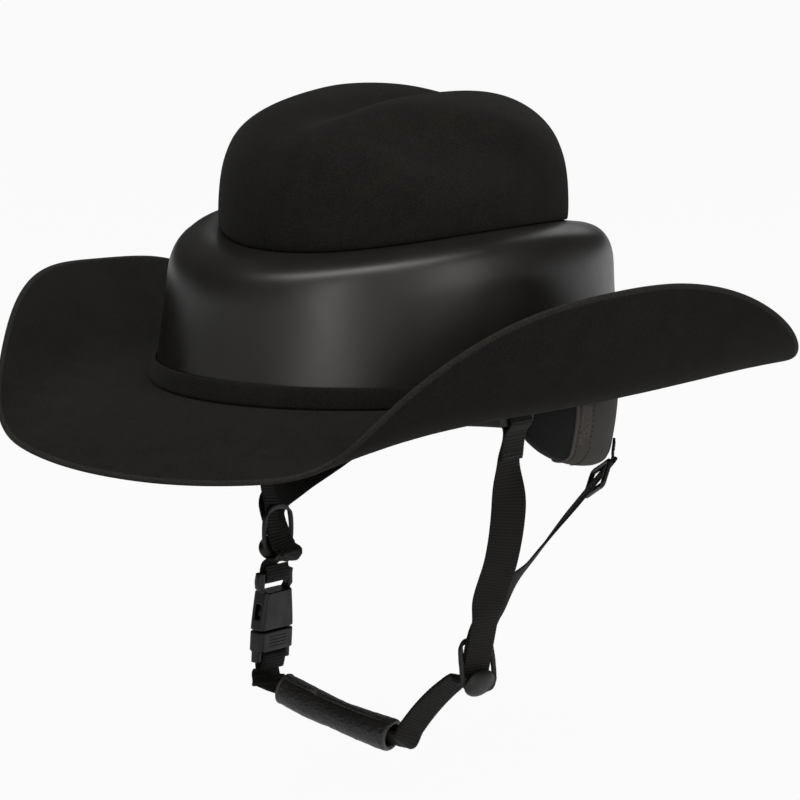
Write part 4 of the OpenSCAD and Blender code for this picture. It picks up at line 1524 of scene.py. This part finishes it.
@dataclass
class Ribbon:
    """A strap read from its CAD solid: a centre line with a half width and a half thickness."""

    centres: list[Vector]
    wides: list[Vector]
    thicks: list[Vector]
    marks: list[float] = field(default_factory=list)

    def __post_init__(self) -> None:
        """Measures the strap."""
        self.measure()

    def measure(self) -> None:
        """Works out each station's distance along the strap."""
        self.marks = [0.0]
        for a, b in zip(self.centres, self.centres[1:]):
            self.marks.append(self.marks[-1] + (b - a).length)

    @classmethod
    def read(cls, frame: dict[str, Any], node: str) -> "Ribbon":
        """Reads a strap's stations from its CAD node.

        Args:
            node: The strap's node.

        Returns:
            The strap.
        """
        rings = node_rings(frame, node)
        centres, wides, thicks = [], [], []
        for ring in rings:
            centre = sum(ring, Vector()) / len(ring)
            first, *others = ring
            others.sort(key=lambda p: (p - first).length)
            beside, across = others[0], others[1]
            wide = (first - across) / 2
            thick = (first - beside) / 2
            if wides and wide.dot(wides[-1]) < 0:
                wide = -wide
            if centres:
                ahead = centre - centres[-1]
                if thick.dot(ahead.cross(wide)) < 0:
                    thick = -thick
            centres.append(centre)
            wides.append(wide)
            thicks.append(thick)
        if thicks[0].dot(thicks[1]) < 0:
            thicks[0] = -thicks[0]
        return cls(centres, wides, thicks)

    @property
    def length(self) -> float:
        """The whole length."""
        return self.marks[-1]

    def at(self, distance: float) -> tuple[Vector, Vector, Vector]:
        """The strap at a distance along it.

        Args:
            distance: The distance from its start.

        Returns:
            The centre, the half width and the half thickness there.
        """
        marks, c = self.marks, self.centres
        k = max(0, min(len(marks) - 2, int(np.searchsorted(marks, distance) - 1)))
        step = marks[k + 1] - marks[k]
        f = (distance - marks[k]) / max(1e-9, step)
        p1, p2 = c[k], c[k + 1]
        # Tangents weighted by the spans, so that a short span beside a long one doesn't overshoot
        m1 = m2 = (p2 - p1) / step
        if k:
            before = marks[k] - marks[k - 1]
            m1 = ((p1 - c[k - 1]) / before * step + m1 * before) / (before + step)
        if k < len(c) - 2:
            after = marks[k + 2] - marks[k + 1]
            m2 = (m2 * after + (c[k + 2] - p2) / after * step) / (after + step)
        f2, f3 = f * f, f * f * f
        centre = (p1 * (2 * f3 - 3 * f2 + 1) + m1 * step * (f3 - 2 * f2 + f)
                  + p2 * (3 * f2 - 2 * f3) + m2 * step * (f3 - f2))
        ahead = (p1 * (6 * f2 - 6 * f) + m1 * step * (3 * f2 - 4 * f + 1)
                 + p2 * (6 * f - 6 * f2) + m2 * step * (3 * f2 - 2 * f)).normalized()
        ease = f2 * (3 - 2 * f)
        w1, w2, t1, t2 = self.wides[k], self.wides[k + 1], self.thicks[k], self.thicks[k + 1]
        wide = w1.normalized().slerp(w2.normalized(), ease, w1.normalized())
        wide = (wide - ahead * wide.dot(ahead)).normalized() * (w1.length * (1 - ease) + w2.length * ease)
        thick = ahead.cross(wide).normalized()
        if thick.dot(t1.lerp(t2, ease)) < 0:
            thick = -thick
        return centre, wide, thick * (t1.length * (1 - ease) + t2.length * ease)

    def surface(self, distance: float, across: float, face: float) -> tuple[Vector, Vector]:
        """A point on one face of the strap.

        Args:
            distance: The distance along it.
            across: From -1 at one selvedge to 1 at the other.
            face: 1 or -1 for the two faces.

        Returns:
            The point and the face's normal there.
        """
        centre, wide, thick = self.at(distance)
        normal = thick.normalized() * face
        return centre + wide * across + thick * face, normal


@dataclass
class StrapMaker:
    """Weaves ribbed webbing along a ribbon."""

    pitch: float = 1.8 * MM
    rib_depth: float = 0.2 * MM
    samples: int = 4
    columns: int = 20
    flat: float = 0.34
    crown: float = 0.5

    def weave(self, name: str, ribbon: Ribbon, start: float = 0.0, end: float | None = None) -> Piece:
        """Makes a closed strap with real ribs across it and rounded selvedges.

        Args:
            name: The new object's name.
            ribbon: Where it runs.
            start: The distance where it starts.
            end: The distance where it ends, or None for the ribbon's own end.

        Returns:
            The strap.
        """
        length = (ribbon.length if end is None else end) - start
        rows = max(8, round(length / self.pitch * self.samples))

        def section(u: float) -> tuple[float, float]:
            """The section's own coordinates, from -1 to 1, at a share of the way round it."""
            turn = 2 * math.pi * u
            c, s = math.cos(turn), math.sin(turn)
            return math.copysign(abs(c) ** self.flat, c), math.copysign(abs(s) ** self.crown, s)

        def spot(u: float, v: float) -> Vector:
            """A point of the strap's surface, on a rib or between two."""
            distance = start + v * length
            centre, wide, thick = ribbon.at(distance)
            across, through = section(u)
            rib = (math.cos(2 * math.pi * distance / self.pitch) - 1) * self.rib_depth / 2
            return centre + wide * across + thick.normalized() * (through * (thick.length + rib))

        def place(u: float, v: float) -> tuple[float, float]:
            """The map's place: metres across and along the strap."""
            distance = start + v * length
            return section(u)[0] * ribbon.wides[len(ribbon.wides) // 2].length, distance

        return closed_sweep(name, self.columns, rows, spot, place)

    def bartacks(self, name: str, ribbon: Ribbon, rows: Sequence[float], face: float) -> Piece:
        """Makes rows of stitches across a strap where it is sewn.

        Args:
            name: The new object's name.
            ribbon: The strap.
            rows: The distances of the rows along it.
            face: The face that shows them, 1 or -1.

        Returns:
            The stitches.
        """
        made: list[Piece] = []
        for distance in rows:
            spots = [ribbon.surface(distance, a, face) for a in np.linspace(-0.82, 0.82, 8)]
            made.append(stitch_row("row", [p for p, _ in spots], [n for _, n in spots], 1.9 * MM, 0.3 * MM))
        return joined(name, made)


@dataclass
class Harness:
    """The straps, dividers and glides that hold the helmet on the head."""

    frame: dict[str, Any]
    maker: StrapMaker
    fold_radius: float = 2.4 * MM
    fold_places: tuple[float, ...] = (-0.99, -0.9, -0.7, -0.4, 0.0, 0.4, 0.8, 1.3, 1.9)
    fold_fades: float = 1.05
    rod_voxel: float = 0.5 * MM
    lump_out: float = 5.0 * MM
    lump_down: float = 8.6 * MM
    lump_forward: float = 2.0 * MM
    lump_size: tuple[float, float, float] = (12.6 * MM, 7.8 * MM, 3.6 * MM)
    loop_end: int = 10
    loop_close: float = 6.5 * MM
    bulge: tuple[float, float, float] = (5.0, 3.5, 0.0)
    bulge_reach: float = 0.45
    first_turn: float = 0.35
    glide_swell: float = 0.4 * MM
    late_twist: float = 0.25
    round_left: float = 0.2
    round_right: float = 0.5
    glide_voxel: float = 0.42 * MM
    far_mouth: float = -39 * MM
    bend_width: float = 10 * MM

    def build(self) -> None:
        """Makes and dresses every piece of the harness."""
        for node in ("front_strap_left", "front_strap_right"):
            self.front_strap(node)
        for node in ("rear_strap_left", "rear_strap_right"):
            self.rear_strap(node)
        self.chin_webbing()
        for side in Side:
            self.divider(side)
            self.glide(side)

    def front_strap(self, node: str) -> None:
        """Makes a front strap with its sewn loop round the hanger lug.

        Args:
            node: The strap's CAD node.
        """
        ribbon = Ribbon.read(self.frame, node)
        if ribbon.centres[0].z < ribbon.centres[-1].z:
            ribbon = Ribbon(ribbon.centres[::-1], ribbon.wides[::-1], ribbon.thicks[::-1])
        if node == "front_strap_right":
            self.settle(ribbon)
        self.tighten(ribbon)
        dress(self.maker.weave(node + "_webbing", ribbon), STRAP, HELMET, [node])
        self.sew(node, ribbon, (2.2 * MM, 4.4 * MM, 13.5 * MM, 15.7 * MM))

    def tighten(self, ribbon: Ribbon) -> None:
        """Closes a strap's loop right below its bar, where the real one is sewn.

        Args:
            ribbon: The strap, which starts with its tail and its loop.
        """
        tail, foot = ribbon.centres[0], ribbon.centres[self.loop_end]
        bar = sum(ribbon.centres[1:self.loop_end], Vector()) / (self.loop_end - 1)
        up = bar - (tail + foot) / 2
        step = up.normalized() * (up.length - self.loop_close)
        for at, end in ((self.loop_end, foot), (1, tail)):
            ribbon.centres.insert(at, end + step)
            ribbon.wides.insert(at, ribbon.wides[at - 1].copy())
            ribbon.thicks.insert(at, ribbon.thicks[at - 1].copy())
        ribbon.measure()

    def settle(self, ribbon: Ribbon) -> None:
        """Turns the right front strap edge-on above its divider, and lets it bulge below it.

        Args:
            ribbon: The strap.
        """
        first, last = self.loop_end + 3, self.loop_end + 5
        ribbon.wides[first] = ribbon.wides[first - 1].copy()
        ribbon.wides[first + 1] = ribbon.wides[first - 1].lerp(ribbon.wides[last], self.first_turn)
        start, end = ribbon.centres[last], ribbon.centres[last + 5]
        down = (ribbon.centres[last] - ribbon.centres[last - 1]).normalized()
        side = Vector(self.bulge) * MM
        reach = (end - start).length * self.bulge_reach
        for k in range(1, 5):
            f = k / 5
            near, far = start + down * reach + side, end - down * reach + side
            ribbon.centres[last + k] = (start * (1 - f) ** 3 + near * (3 * f * (1 - f) ** 2)
                                        + far * (3 * f * f * (1 - f)) + end * f ** 3)

    def rear_strap(self, node: str) -> None:
        """Makes a rear strap, which is sewn to the outside of the nape pad.

        Args:
            node: The strap's CAD node.
        """
        ribbon = Ribbon.read(self.frame, node)
        if ribbon.centres[0].z < ribbon.centres[-1].z:
            ribbon = Ribbon(ribbon.centres[::-1], ribbon.wides[::-1], ribbon.thicks[::-1])
        ribbon.wides[5] = ribbon.wides[4].lerp(ribbon.wides[6], self.late_twist)
        dress(self.maker.weave(node + "_webbing", ribbon), STRAP, HELMET, [node])
        self.sew(node, ribbon, (1.8 * MM, 4.0 * MM))

    def sew(self, node: str, ribbon: Ribbon, rows: Sequence[float]) -> None:
        """Adds the rows of stitches at a strap's sewn end, on its outer face."""
        point, normal = ribbon.surface(rows[0], 0, 1)
        face = 1 if normal.dot(Vector((point.x, point.y, 0))) > 0 else -1
        dress(self.maker.bartacks(node + "_stitches", ribbon, rows, face), THREAD, HELMET)

    def chin_webbing(self) -> None:
        """Makes the doubled chin webbing, whose end is a round fold about the hinge at the left divider."""
        ribbon = Ribbon.read(self.frame, "chin_strap")
        hinge = joint(self.frame, "chin_strap_open", "pos_m")
        if (ribbon.centres[0] - hinge).length > (ribbon.centres[-1] - hinge).length:
            ribbon = Ribbon(ribbon.centres[::-1], ribbon.wides[::-1], ribbon.thicks[::-1])
        past = next(i for i, mark in enumerate(ribbon.marks)
                    if (ribbon.centres[i] - hinge).length > 3 * MM and mark > 3 * MM)
        ahead = (ribbon.centres[past] - hinge).normalized()
        for i, centre in enumerate(ribbon.centres):
            if centre.x < self.far_mouth and abs(ribbon.wides[i].normalized().y) < 0.999:
                ribbon.wides[i] = Vector((0, 1, 0)) * max(ribbon.wides[i].length, self.bend_width * 0.85)
        wide, thick = ribbon.wides[past], ribbon.thicks[past].normalized()
        flat = ribbon.thicks[past].length
        centres, wides, thicks = [], [], []
        for along in self.fold_places:
            round_part = math.sqrt(1 - along ** 2) if along < 0 else math.exp(-(along / self.fold_fades) ** 2)
            centres.append(hinge + ahead * (along * self.fold_radius))
            wides.append(wide)
            layers = flat * (along / self.fold_places[-1] + 0.6) * (1 - round_part) if along > 0 else 0.0
            thicks.append(thick * (layers + self.fold_radius * round_part))
        past += 1
        ribbon = Ribbon(centres + ribbon.centres[past:], wides + ribbon.wides[past:],
                        thicks + ribbon.thicks[past:])
        dress(self.maker.weave("chin_strap_webbing", ribbon), STRAP, CHIN, ["chin_strap"])

    def divider(self, side: Side) -> None:
        """Makes a strap divider: a ring of rounded rods with a smooth swollen jaw at its foot.

        Args:
            side: The wearer's side.
        """
        node = "divider_" + side.name.lower()
        obj = merged_copy(self.frame, node, node + "_moulding", quads=False)
        points = np.array([v.co for v in obj.data.vertices])
        middle = (Vector(points.min(axis=0)) + Vector(points.max(axis=0))) / 2
        normal = Vector(np.linalg.svd(points - points.mean(axis=0), full_matrices=False)[2][2])
        normal = normal if normal.x * side.value > 0 else -normal
        across = Vector((0, 1, 0)) - normal * normal.y
        across.normalize()
        up = across.cross(normal) * (1 if across.cross(normal).z > 0 else -1)
        wide = max(abs((v.co - middle).dot(across)) for v in obj.data.vertices)
        tall = max(abs((v.co - middle).dot(up)) for v in obj.data.vertices)
        modify(obj, "REMESH", mode="VOXEL", voxel_size=self.rod_voxel)
        roundness = self.round_left if side is Side.LEFT else self.round_right
        for vertex in obj.data.vertices:
            a, b = (vertex.co - middle).dot(across), (vertex.co - middle).dot(up)
            x, y = a / wide, b / tall
            # A square's points lie on circles once each is drawn in by this share
            pull = (max(abs(x), abs(y)) / max(1e-6, math.hypot(x, y)) - 1) * roundness
            vertex.co += (across * a + up * b) * pull
        strap = joint(self.frame, node + "_slide", "axis").normalized()
        outward = Vector((0, 1, 0)).cross(strap)
        outward = outward if outward.x * side.value > 0 else -outward
        jaw_at = middle + outward * self.lump_out - strap * self.lump_down - Vector((0, self.lump_forward, 0))
        jaw = ellipsoid((32, 20), self.lump_size, jaw_at, (Vector((0, 1, 0)), strap, outward))
        obj = moulded(joined(node + "_moulding", [obj, jaw]), self.rod_voxel, 5)
        dress(obj, NYLON, node, [node])

    def glide(self, side: Side) -> None:
        """Makes the small glide that takes up the rear strap below the nape pad."""
        node = "nape_glide_" + side.name.lower()
        obj = moulded(merged_copy(self.frame, node, node + "_moulding", quads=False), self.glide_voxel, 3)
        for vertex in obj.data.vertices:
            vertex.co += vertex.normal * self.glide_swell
        dress(obj, NYLON, node, [node])


@dataclass
class Buckle:
    """The side-release buckle: a waisted socket with a ladder bar, a plug and two prongs."""

    frame: dict[str, Any]
    voxel: float = 0.42 * MM
    waist: float = 3.0 * MM
    ear_swell: float = 0.6 * MM
    ear_size: tuple[float, float, float] = (3.2 * MM, 2.3 * MM, 5.2 * MM)
    rib_count: int = 4
    prong_voxel: float = 0.35 * MM
    neck_at: float = 0.66
    neck_length: float = 2.6 * MM
    ear_down: float = 4.2 * MM
    ear_tall: float = 3.4 * MM
    edge_from: float = 0.6
    rib_from: float = 3.2 * MM
    rib_pitch: float = 1.9 * MM

    def build(self) -> None:
        """Makes and dresses the two halves and the prongs."""
        face = joint(self.frame, "prong_rear_squeeze", "axis").normalized()
        wide = Vector((0, 1, 0))
        up = face.cross(wide).normalized()
        up = up if up.z > 0 else -up
        obj = merged_copy(self.frame, "buckle_socket", "buckle_socket_moulding", quads=False)
        box = np.array([v.co for v in obj.data.vertices])
        middle = Vector((box.min(axis=0) + box.max(axis=0)) / 2)
        reach = float((box @ np.array(up)).max()) - middle.dot(up)
        half_wide = box[:, 1].max() - middle.y
        parts = [obj]
        for sign in (-1, 1):
            place = (middle + up * (reach - self.ear_size[2] * 0.9)
                     + wide * (sign * (half_wide - self.ear_size[1] * 0.6)))
            parts.append(ellipsoid((24, 16), self.ear_size, place, (face, wide, up)))
        obj = moulded(joined("buckle_socket_moulding", parts), self.voxel, 3)
        tops = [v.co.dot(up) for v in obj.data.vertices]
        foot, head = min(tops), max(tops)
        sides = [v.co.y for v in obj.data.vertices]
        centre = (max(sides) + min(sides)) / 2
        half = max(sides) - centre
        neck = foot + (head - foot) * self.neck_at
        for vertex in obj.data.vertices:
            height = vertex.co.dot(up)
            side = vertex.co.y - centre
            if abs(side) < half * self.edge_from:
                continue
            taper = min((height - foot) / (neck - foot), 1 - (height - neck) / self.neck_length)
            pinch = self.waist * max(0.0, taper) ** 1.3
            swell = self.ear_swell * math.exp(-((height - head + self.ear_down) / self.ear_tall) ** 2)
            outer = max(0.0, (abs(side) / half - self.edge_from) / (1 - self.edge_from))
            vertex.co.y -= math.copysign((pinch - swell) * outer ** 0.5, side)
        dress(obj, NYLON, HELMET, ["buckle_socket"])
        self.plug(up, face)
        for end in ("front", "rear"):
            node = "prong_" + end
            prong = merged_copy(self.frame, node, node + "_moulding", quads=False)
            dress(moulded(prong, self.prong_voxel, 2), NYLON, node, [node])

    def plug(self, up: Vector, face: Vector) -> None:
        """Makes the plug and the grip ribs on its two broad faces.

        Args:
            up: The direction from the plug to the socket.
            face: The direction square to the buckle's broad faces.
        """
        body = merged_copy(self.frame, "buckle_plug", "buckle_plug_moulding", quads=False)
        moulded(body, self.voxel, 3)
        low, high = span("buckle_plug")
        middle = (low + high) / 2
        base_top = max(v.co.dot(up) for v in body.data.vertices if abs(v.co.y - middle.y) > 11 * MM)
        parts = [body]
        out = max(abs((v.co - middle).dot(face)) for v in body.data.vertices)
        for sign in (1, -1):
            for k in range(self.rib_count):
                height = base_top - self.rib_from - self.rib_pitch * k
                here = middle + up * (height - middle.dot(up)) + face * (sign * (out - 0.28 * MM))
                ends = [here + Vector((0, y * MM, 0)) for y in (-7, -4, 0, 4, 7)]
                parts.append(tube("grip_rib", ends, 0.55 * MM))
        dress(joined("buckle_plug_moulding", parts), NYLON, CHIN, ["buckle_plug"])


@dataclass
class ChinSleeve:
    """The chin pad: an open textured sleeve with bound ends, a seam and a small tab."""

    frame: dict[str, Any]
    wall: float = 2.1 * MM
    binding: float = 1.0 * MM
    pucker: float = 0.36 * MM
    belly: float = 1.0 * MM
    sag: float = 1.8 * MM
    tab_at: float = 0.22

    def build(self) -> None:
        """Makes and dresses the sleeve, its bindings and its tab."""
        node = self.frame["nodes"]["chin_pad"]
        points = np.array([v.co for v in node.data.vertices])
        middle = points.mean(axis=0)
        axis = Vector(np.linalg.svd(points - middle, full_matrices=False)[2][0])
        if axis.x < 0:
            axis = -axis
        spans = (points - middle) @ np.array(axis)
        centre = Vector(middle) + axis * float((spans.max() + spans.min()) / 2)
        length = float(spans.max() - spans.min())
        beyond = points - np.array(centre)
        radial = beyond - np.outer(beyond @ np.array(axis), np.array(axis))
        radius = float(np.linalg.norm(radial, axis=1).max())
        level = Vector((0, 0, 1)) - axis * axis.z
        level.normalize()
        beside = axis.cross(level)

        def around(turn: float, along: float, away: float) -> Vector:
            """A point at a turn from the top, a distance along the sagging axis and one from it."""
            drop = self.sag * (0.4 - (2 * along / length) ** 2)
            out = level * math.cos(turn) + beside * math.sin(turn)
            return centre + axis * along - level * drop + out * away

        inner = radius - self.wall
        half = length / 2 - self.binding * 0.6
        outline = [(-half, radius - 0.5 * MM), (-half * 0.9, radius - 0.15 * MM), (-half * 0.5, radius),
                   (0.0, radius - self.belly * 0.6), (half * 0.5, radius), (half * 0.9, radius + 0.5 * MM),
                   (half, radius + 0.2 * MM), (half, inner + 0.3 * MM), (half * 0.9, inner),
                   (half * 0.4, inner),
                   (-half * 0.4, inner), (-half * 0.9, inner), (-half, inner + 0.3 * MM)]
        profile = [Vector((z, r)) for z, r in outline]

        def spot(u: float, v: float) -> Vector:
            """A point of the sleeve's wall, puckered on its outer side."""
            at = on_loop(profile, v * len(profile))
            turn = 2 * math.pi * u
            place = around(turn, at.x, at.y)
            outside = 1.0 if at.y > (radius + inner) / 2 else 0.4
            ripple = noise.noise(place * 260) * 0.55 + noise.noise(place * 520) * 0.45
            return around(turn, at.x, at.y + self.pucker * outside * (ripple - 0.25))

        obj = closed_sweep("chin_pad_sleeve", 96, 150, spot, capped=False)
        dress(obj, SLEEVE, "chin_pad", ["chin_pad"])
        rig.padded(obj, fill=0.7)
        parts: list[Piece] = []
        for end in (-1, 1):
            ring = [around(2 * math.pi * k / 32, end * half, radius - 0.9 * MM) for k in range(32)]
            parts.append(tube("end_binding", ring, self.binding, closed=True))
            ring = [around(2 * math.pi * k / 32, end * half, inner + 0.5 * MM) for k in range(32)]
            parts.append(tube("end_lining", ring, self.binding * 0.7, closed=True))
        seam = [around(0.5, half * f, radius + 0.02 * MM) for f in np.linspace(-0.98, 0.98, 24)]
        parts.append(tube("sleeve_seam", seam, 0.45 * MM))
        start = -half + length * self.tab_at
        arch = [(0.0, -0.3), (0.4, 1.3), (2.2, 2.4), (4.6, 2.4), (6.4, 1.3), (6.8, -0.3)]
        for turn in (-0.06, 0.0, 0.06):
            loop = [around(0.5 + turn, start + z * MM, radius + r * MM) for z, r in arch]
            parts.append(tube("sleeve_tab", loop, 0.55 * MM))
        dress(joined("chin_pad_binding", parts), SLEEVE_EDGE, "chin_pad")


# ---------------------------------------------------------------------------------------------
# Studio


@dataclass
class Lamp:
    """A soft box that looks at the middle of the hat."""

    name: str
    azimuth: float
    elevation: float
    distance: float
    width: float
    height: float
    power: float
    warmth: float = 1.0

    def hang(self, target: Vector) -> None:
        """Adds the lamp.

        Args:
            target: What it points at.
        """
        data = bpy.data.lights.new(self.name, "AREA")
        data.shape = "RECTANGLE"
        data.size, data.size_y = self.width, self.height
        data.energy = self.power
        data.color = (1.0, self.warmth, self.warmth * self.warmth)
        obj = bpy.data.objects.new(self.name, data)
        bpy.context.scene.collection.objects.link(obj)
        a, e = math.radians(self.azimuth), math.radians(self.elevation)
        away = Vector((math.sin(a) * math.cos(e), -math.cos(a) * math.cos(e), math.sin(e)))
        obj.location = target + away * self.distance
        obj.rotation_euler = away.to_track_quat("Z", "Y").to_euler()


@dataclass
class Studio:
    """The camera at the photograph's angle, plain soft lamps, a pale floor and a dim surround."""

    azimuth: float = 39.56
    elevation: float = 8.334
    roll: float = 0.512
    distance: float = 2.393
    focus: Vector = Vector((0, 0, 0.040))
    focus_px: tuple[float, float] = (390.09, 298.29)
    scale_px: float = 1800.4
    frame_px: float = 800.0
    sensor: float = 36.0
    floor_z: float = -0.262
    floor_tone: float = 0.55
    glow: float = 0.95
    surround: float = 0.07

    def build(self) -> None:
        """Makes the camera, the lamps, the floor and the world."""
        self.camera()
        self.lamps()
        self.floor()
        self.world()

    def camera(self) -> None:
        """Adds the camera and turns it so that the focus lands on its pixel."""
        a, e, roll = (math.radians(v) for v in (self.azimuth, self.elevation, self.roll))
        back = Vector((math.sin(a) * math.cos(e), -math.cos(a) * math.cos(e), math.sin(e)))
        level = Vector((math.cos(a), math.sin(a), 0))
        upright = back.cross(level)
        right = level * math.cos(roll) + upright * math.sin(roll)
        up = back.cross(right)
        data = bpy.data.cameras.new("camera")
        data.sensor_width = self.sensor
        data.lens = self.scale_px * self.distance / self.frame_px * self.sensor
        data.clip_start, data.clip_end = 0.1, 200
        obj = bpy.data.objects.new("camera", data)
        bpy.context.scene.collection.objects.link(obj)
        eye = self.focus + back * self.distance
        centre = self.frame_px / 2
        aim = (self.focus + right * ((centre - self.focus_px[0]) / self.scale_px)
               - up * ((centre - self.focus_px[1]) / self.scale_px))
        back = (eye - aim).normalized()
        right = (right - back * right.dot(back)).normalized()
        up = back.cross(right)
        obj.matrix_world = Matrix.Translation(eye) @ Matrix((right, up, back)).transposed().to_4x4()
        bpy.context.scene.camera = obj

    def lamps(self) -> None:
        """Hangs the soft boxes."""
        target = Vector((0, 0, 0.0))
        for lamp in (
            Lamp("key_box", 28, 12, 2.2, 0.75, 1.5, 11, 0.955),
            Lamp("side_box", 90, 12, 2.2, 0.8, 1.5, 12, 0.955),
            Lamp("front_fill", 55, 14, 3.2, 3.0, 1.5, 6, 0.97),
            Lamp("top_box", 35, 64, 2.0, 2.4, 0.8, 38, 0.98),
            Lamp("rear_fill", 205, 30, 2.6, 1.6, 1.2, 6, 1.0),
        ):
            lamp.hang(target)

    def floor(self) -> None:
        """Adds the pale floor, which keeps the hat's soft shadow."""
        bpy.ops.object.select_all(action="DESELECT")
        bpy.ops.mesh.primitive_plane_add(size=120, location=(0, 0, self.floor_z))
        obj = bpy.context.object
        obj.name = "floor"
        graph = Graph("pale_floor")
        graph.shader.inputs["Base Color"].default_value = (*[self.floor_tone] * 3, 1)
        graph.shader.inputs["Roughness"].default_value = 0.9
        glow = graph.add("Emission", {"Color": (1, 1, 1, 1), "Strength": 1.0})
        rays = graph.add("LightPath")
        seen = graph.math("MAXIMUM", rays.outputs["Is Camera Ray"], rays.outputs["Is Glossy Ray"])
        seen = graph.math("MAXIMUM", seen, rays.outputs["Is Transmission Ray"])
        seen = graph.math("MULTIPLY", seen, self.glow)
        both = graph.add("MixShader", {"Fac": seen})
        graph.tree.links.new(graph.shader.outputs["BSDF"], both.inputs[1])
        graph.tree.links.new(glow.outputs["Emission"], both.inputs[2])
        graph.tree.links.new(both.outputs["Shader"], graph.tree.nodes["Material Output"].inputs["Surface"])
        obj.data.materials.append(graph.material)
        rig.stage(obj)

    def world(self) -> None:
        """Makes the surround a soft grey light for the hat; the white behind it is the floor."""
        world = bpy.data.worlds.new("surround")
        bpy.context.scene.world = world
        world.use_nodes = True
        background = world.node_tree.nodes["Background"]
        background.inputs["Color"].default_value = (1, 1, 1, 1)
        background.inputs["Strength"].default_value = self.surround


def main() -> None:
    """Builds the looks round the frame, piece by piece."""
    logging.basicConfig(level=logging.INFO, format="%(name)s: %(message)s")
    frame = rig.load()
    cad_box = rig.bounds()
    bpy.context.scene.view_settings.view_transform = "Standard"
    Studio().build()
    Hat(frame).build()
    Lining(frame).build()
    Clamp(frame).build()
    NapePad(frame).build()
    Harness(frame, StrapMaker()).build()
    Buckle(frame).build()
    ChinSleeve(frame).build()
    boxes = {"cad": [list(v) for v in cad_box], "visual": [list(v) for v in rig.bounds()]}
    with open("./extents.json", "w", encoding="utf-8") as target:
        json.dump(boxes, target)


if __name__ == "__main__":
    main()
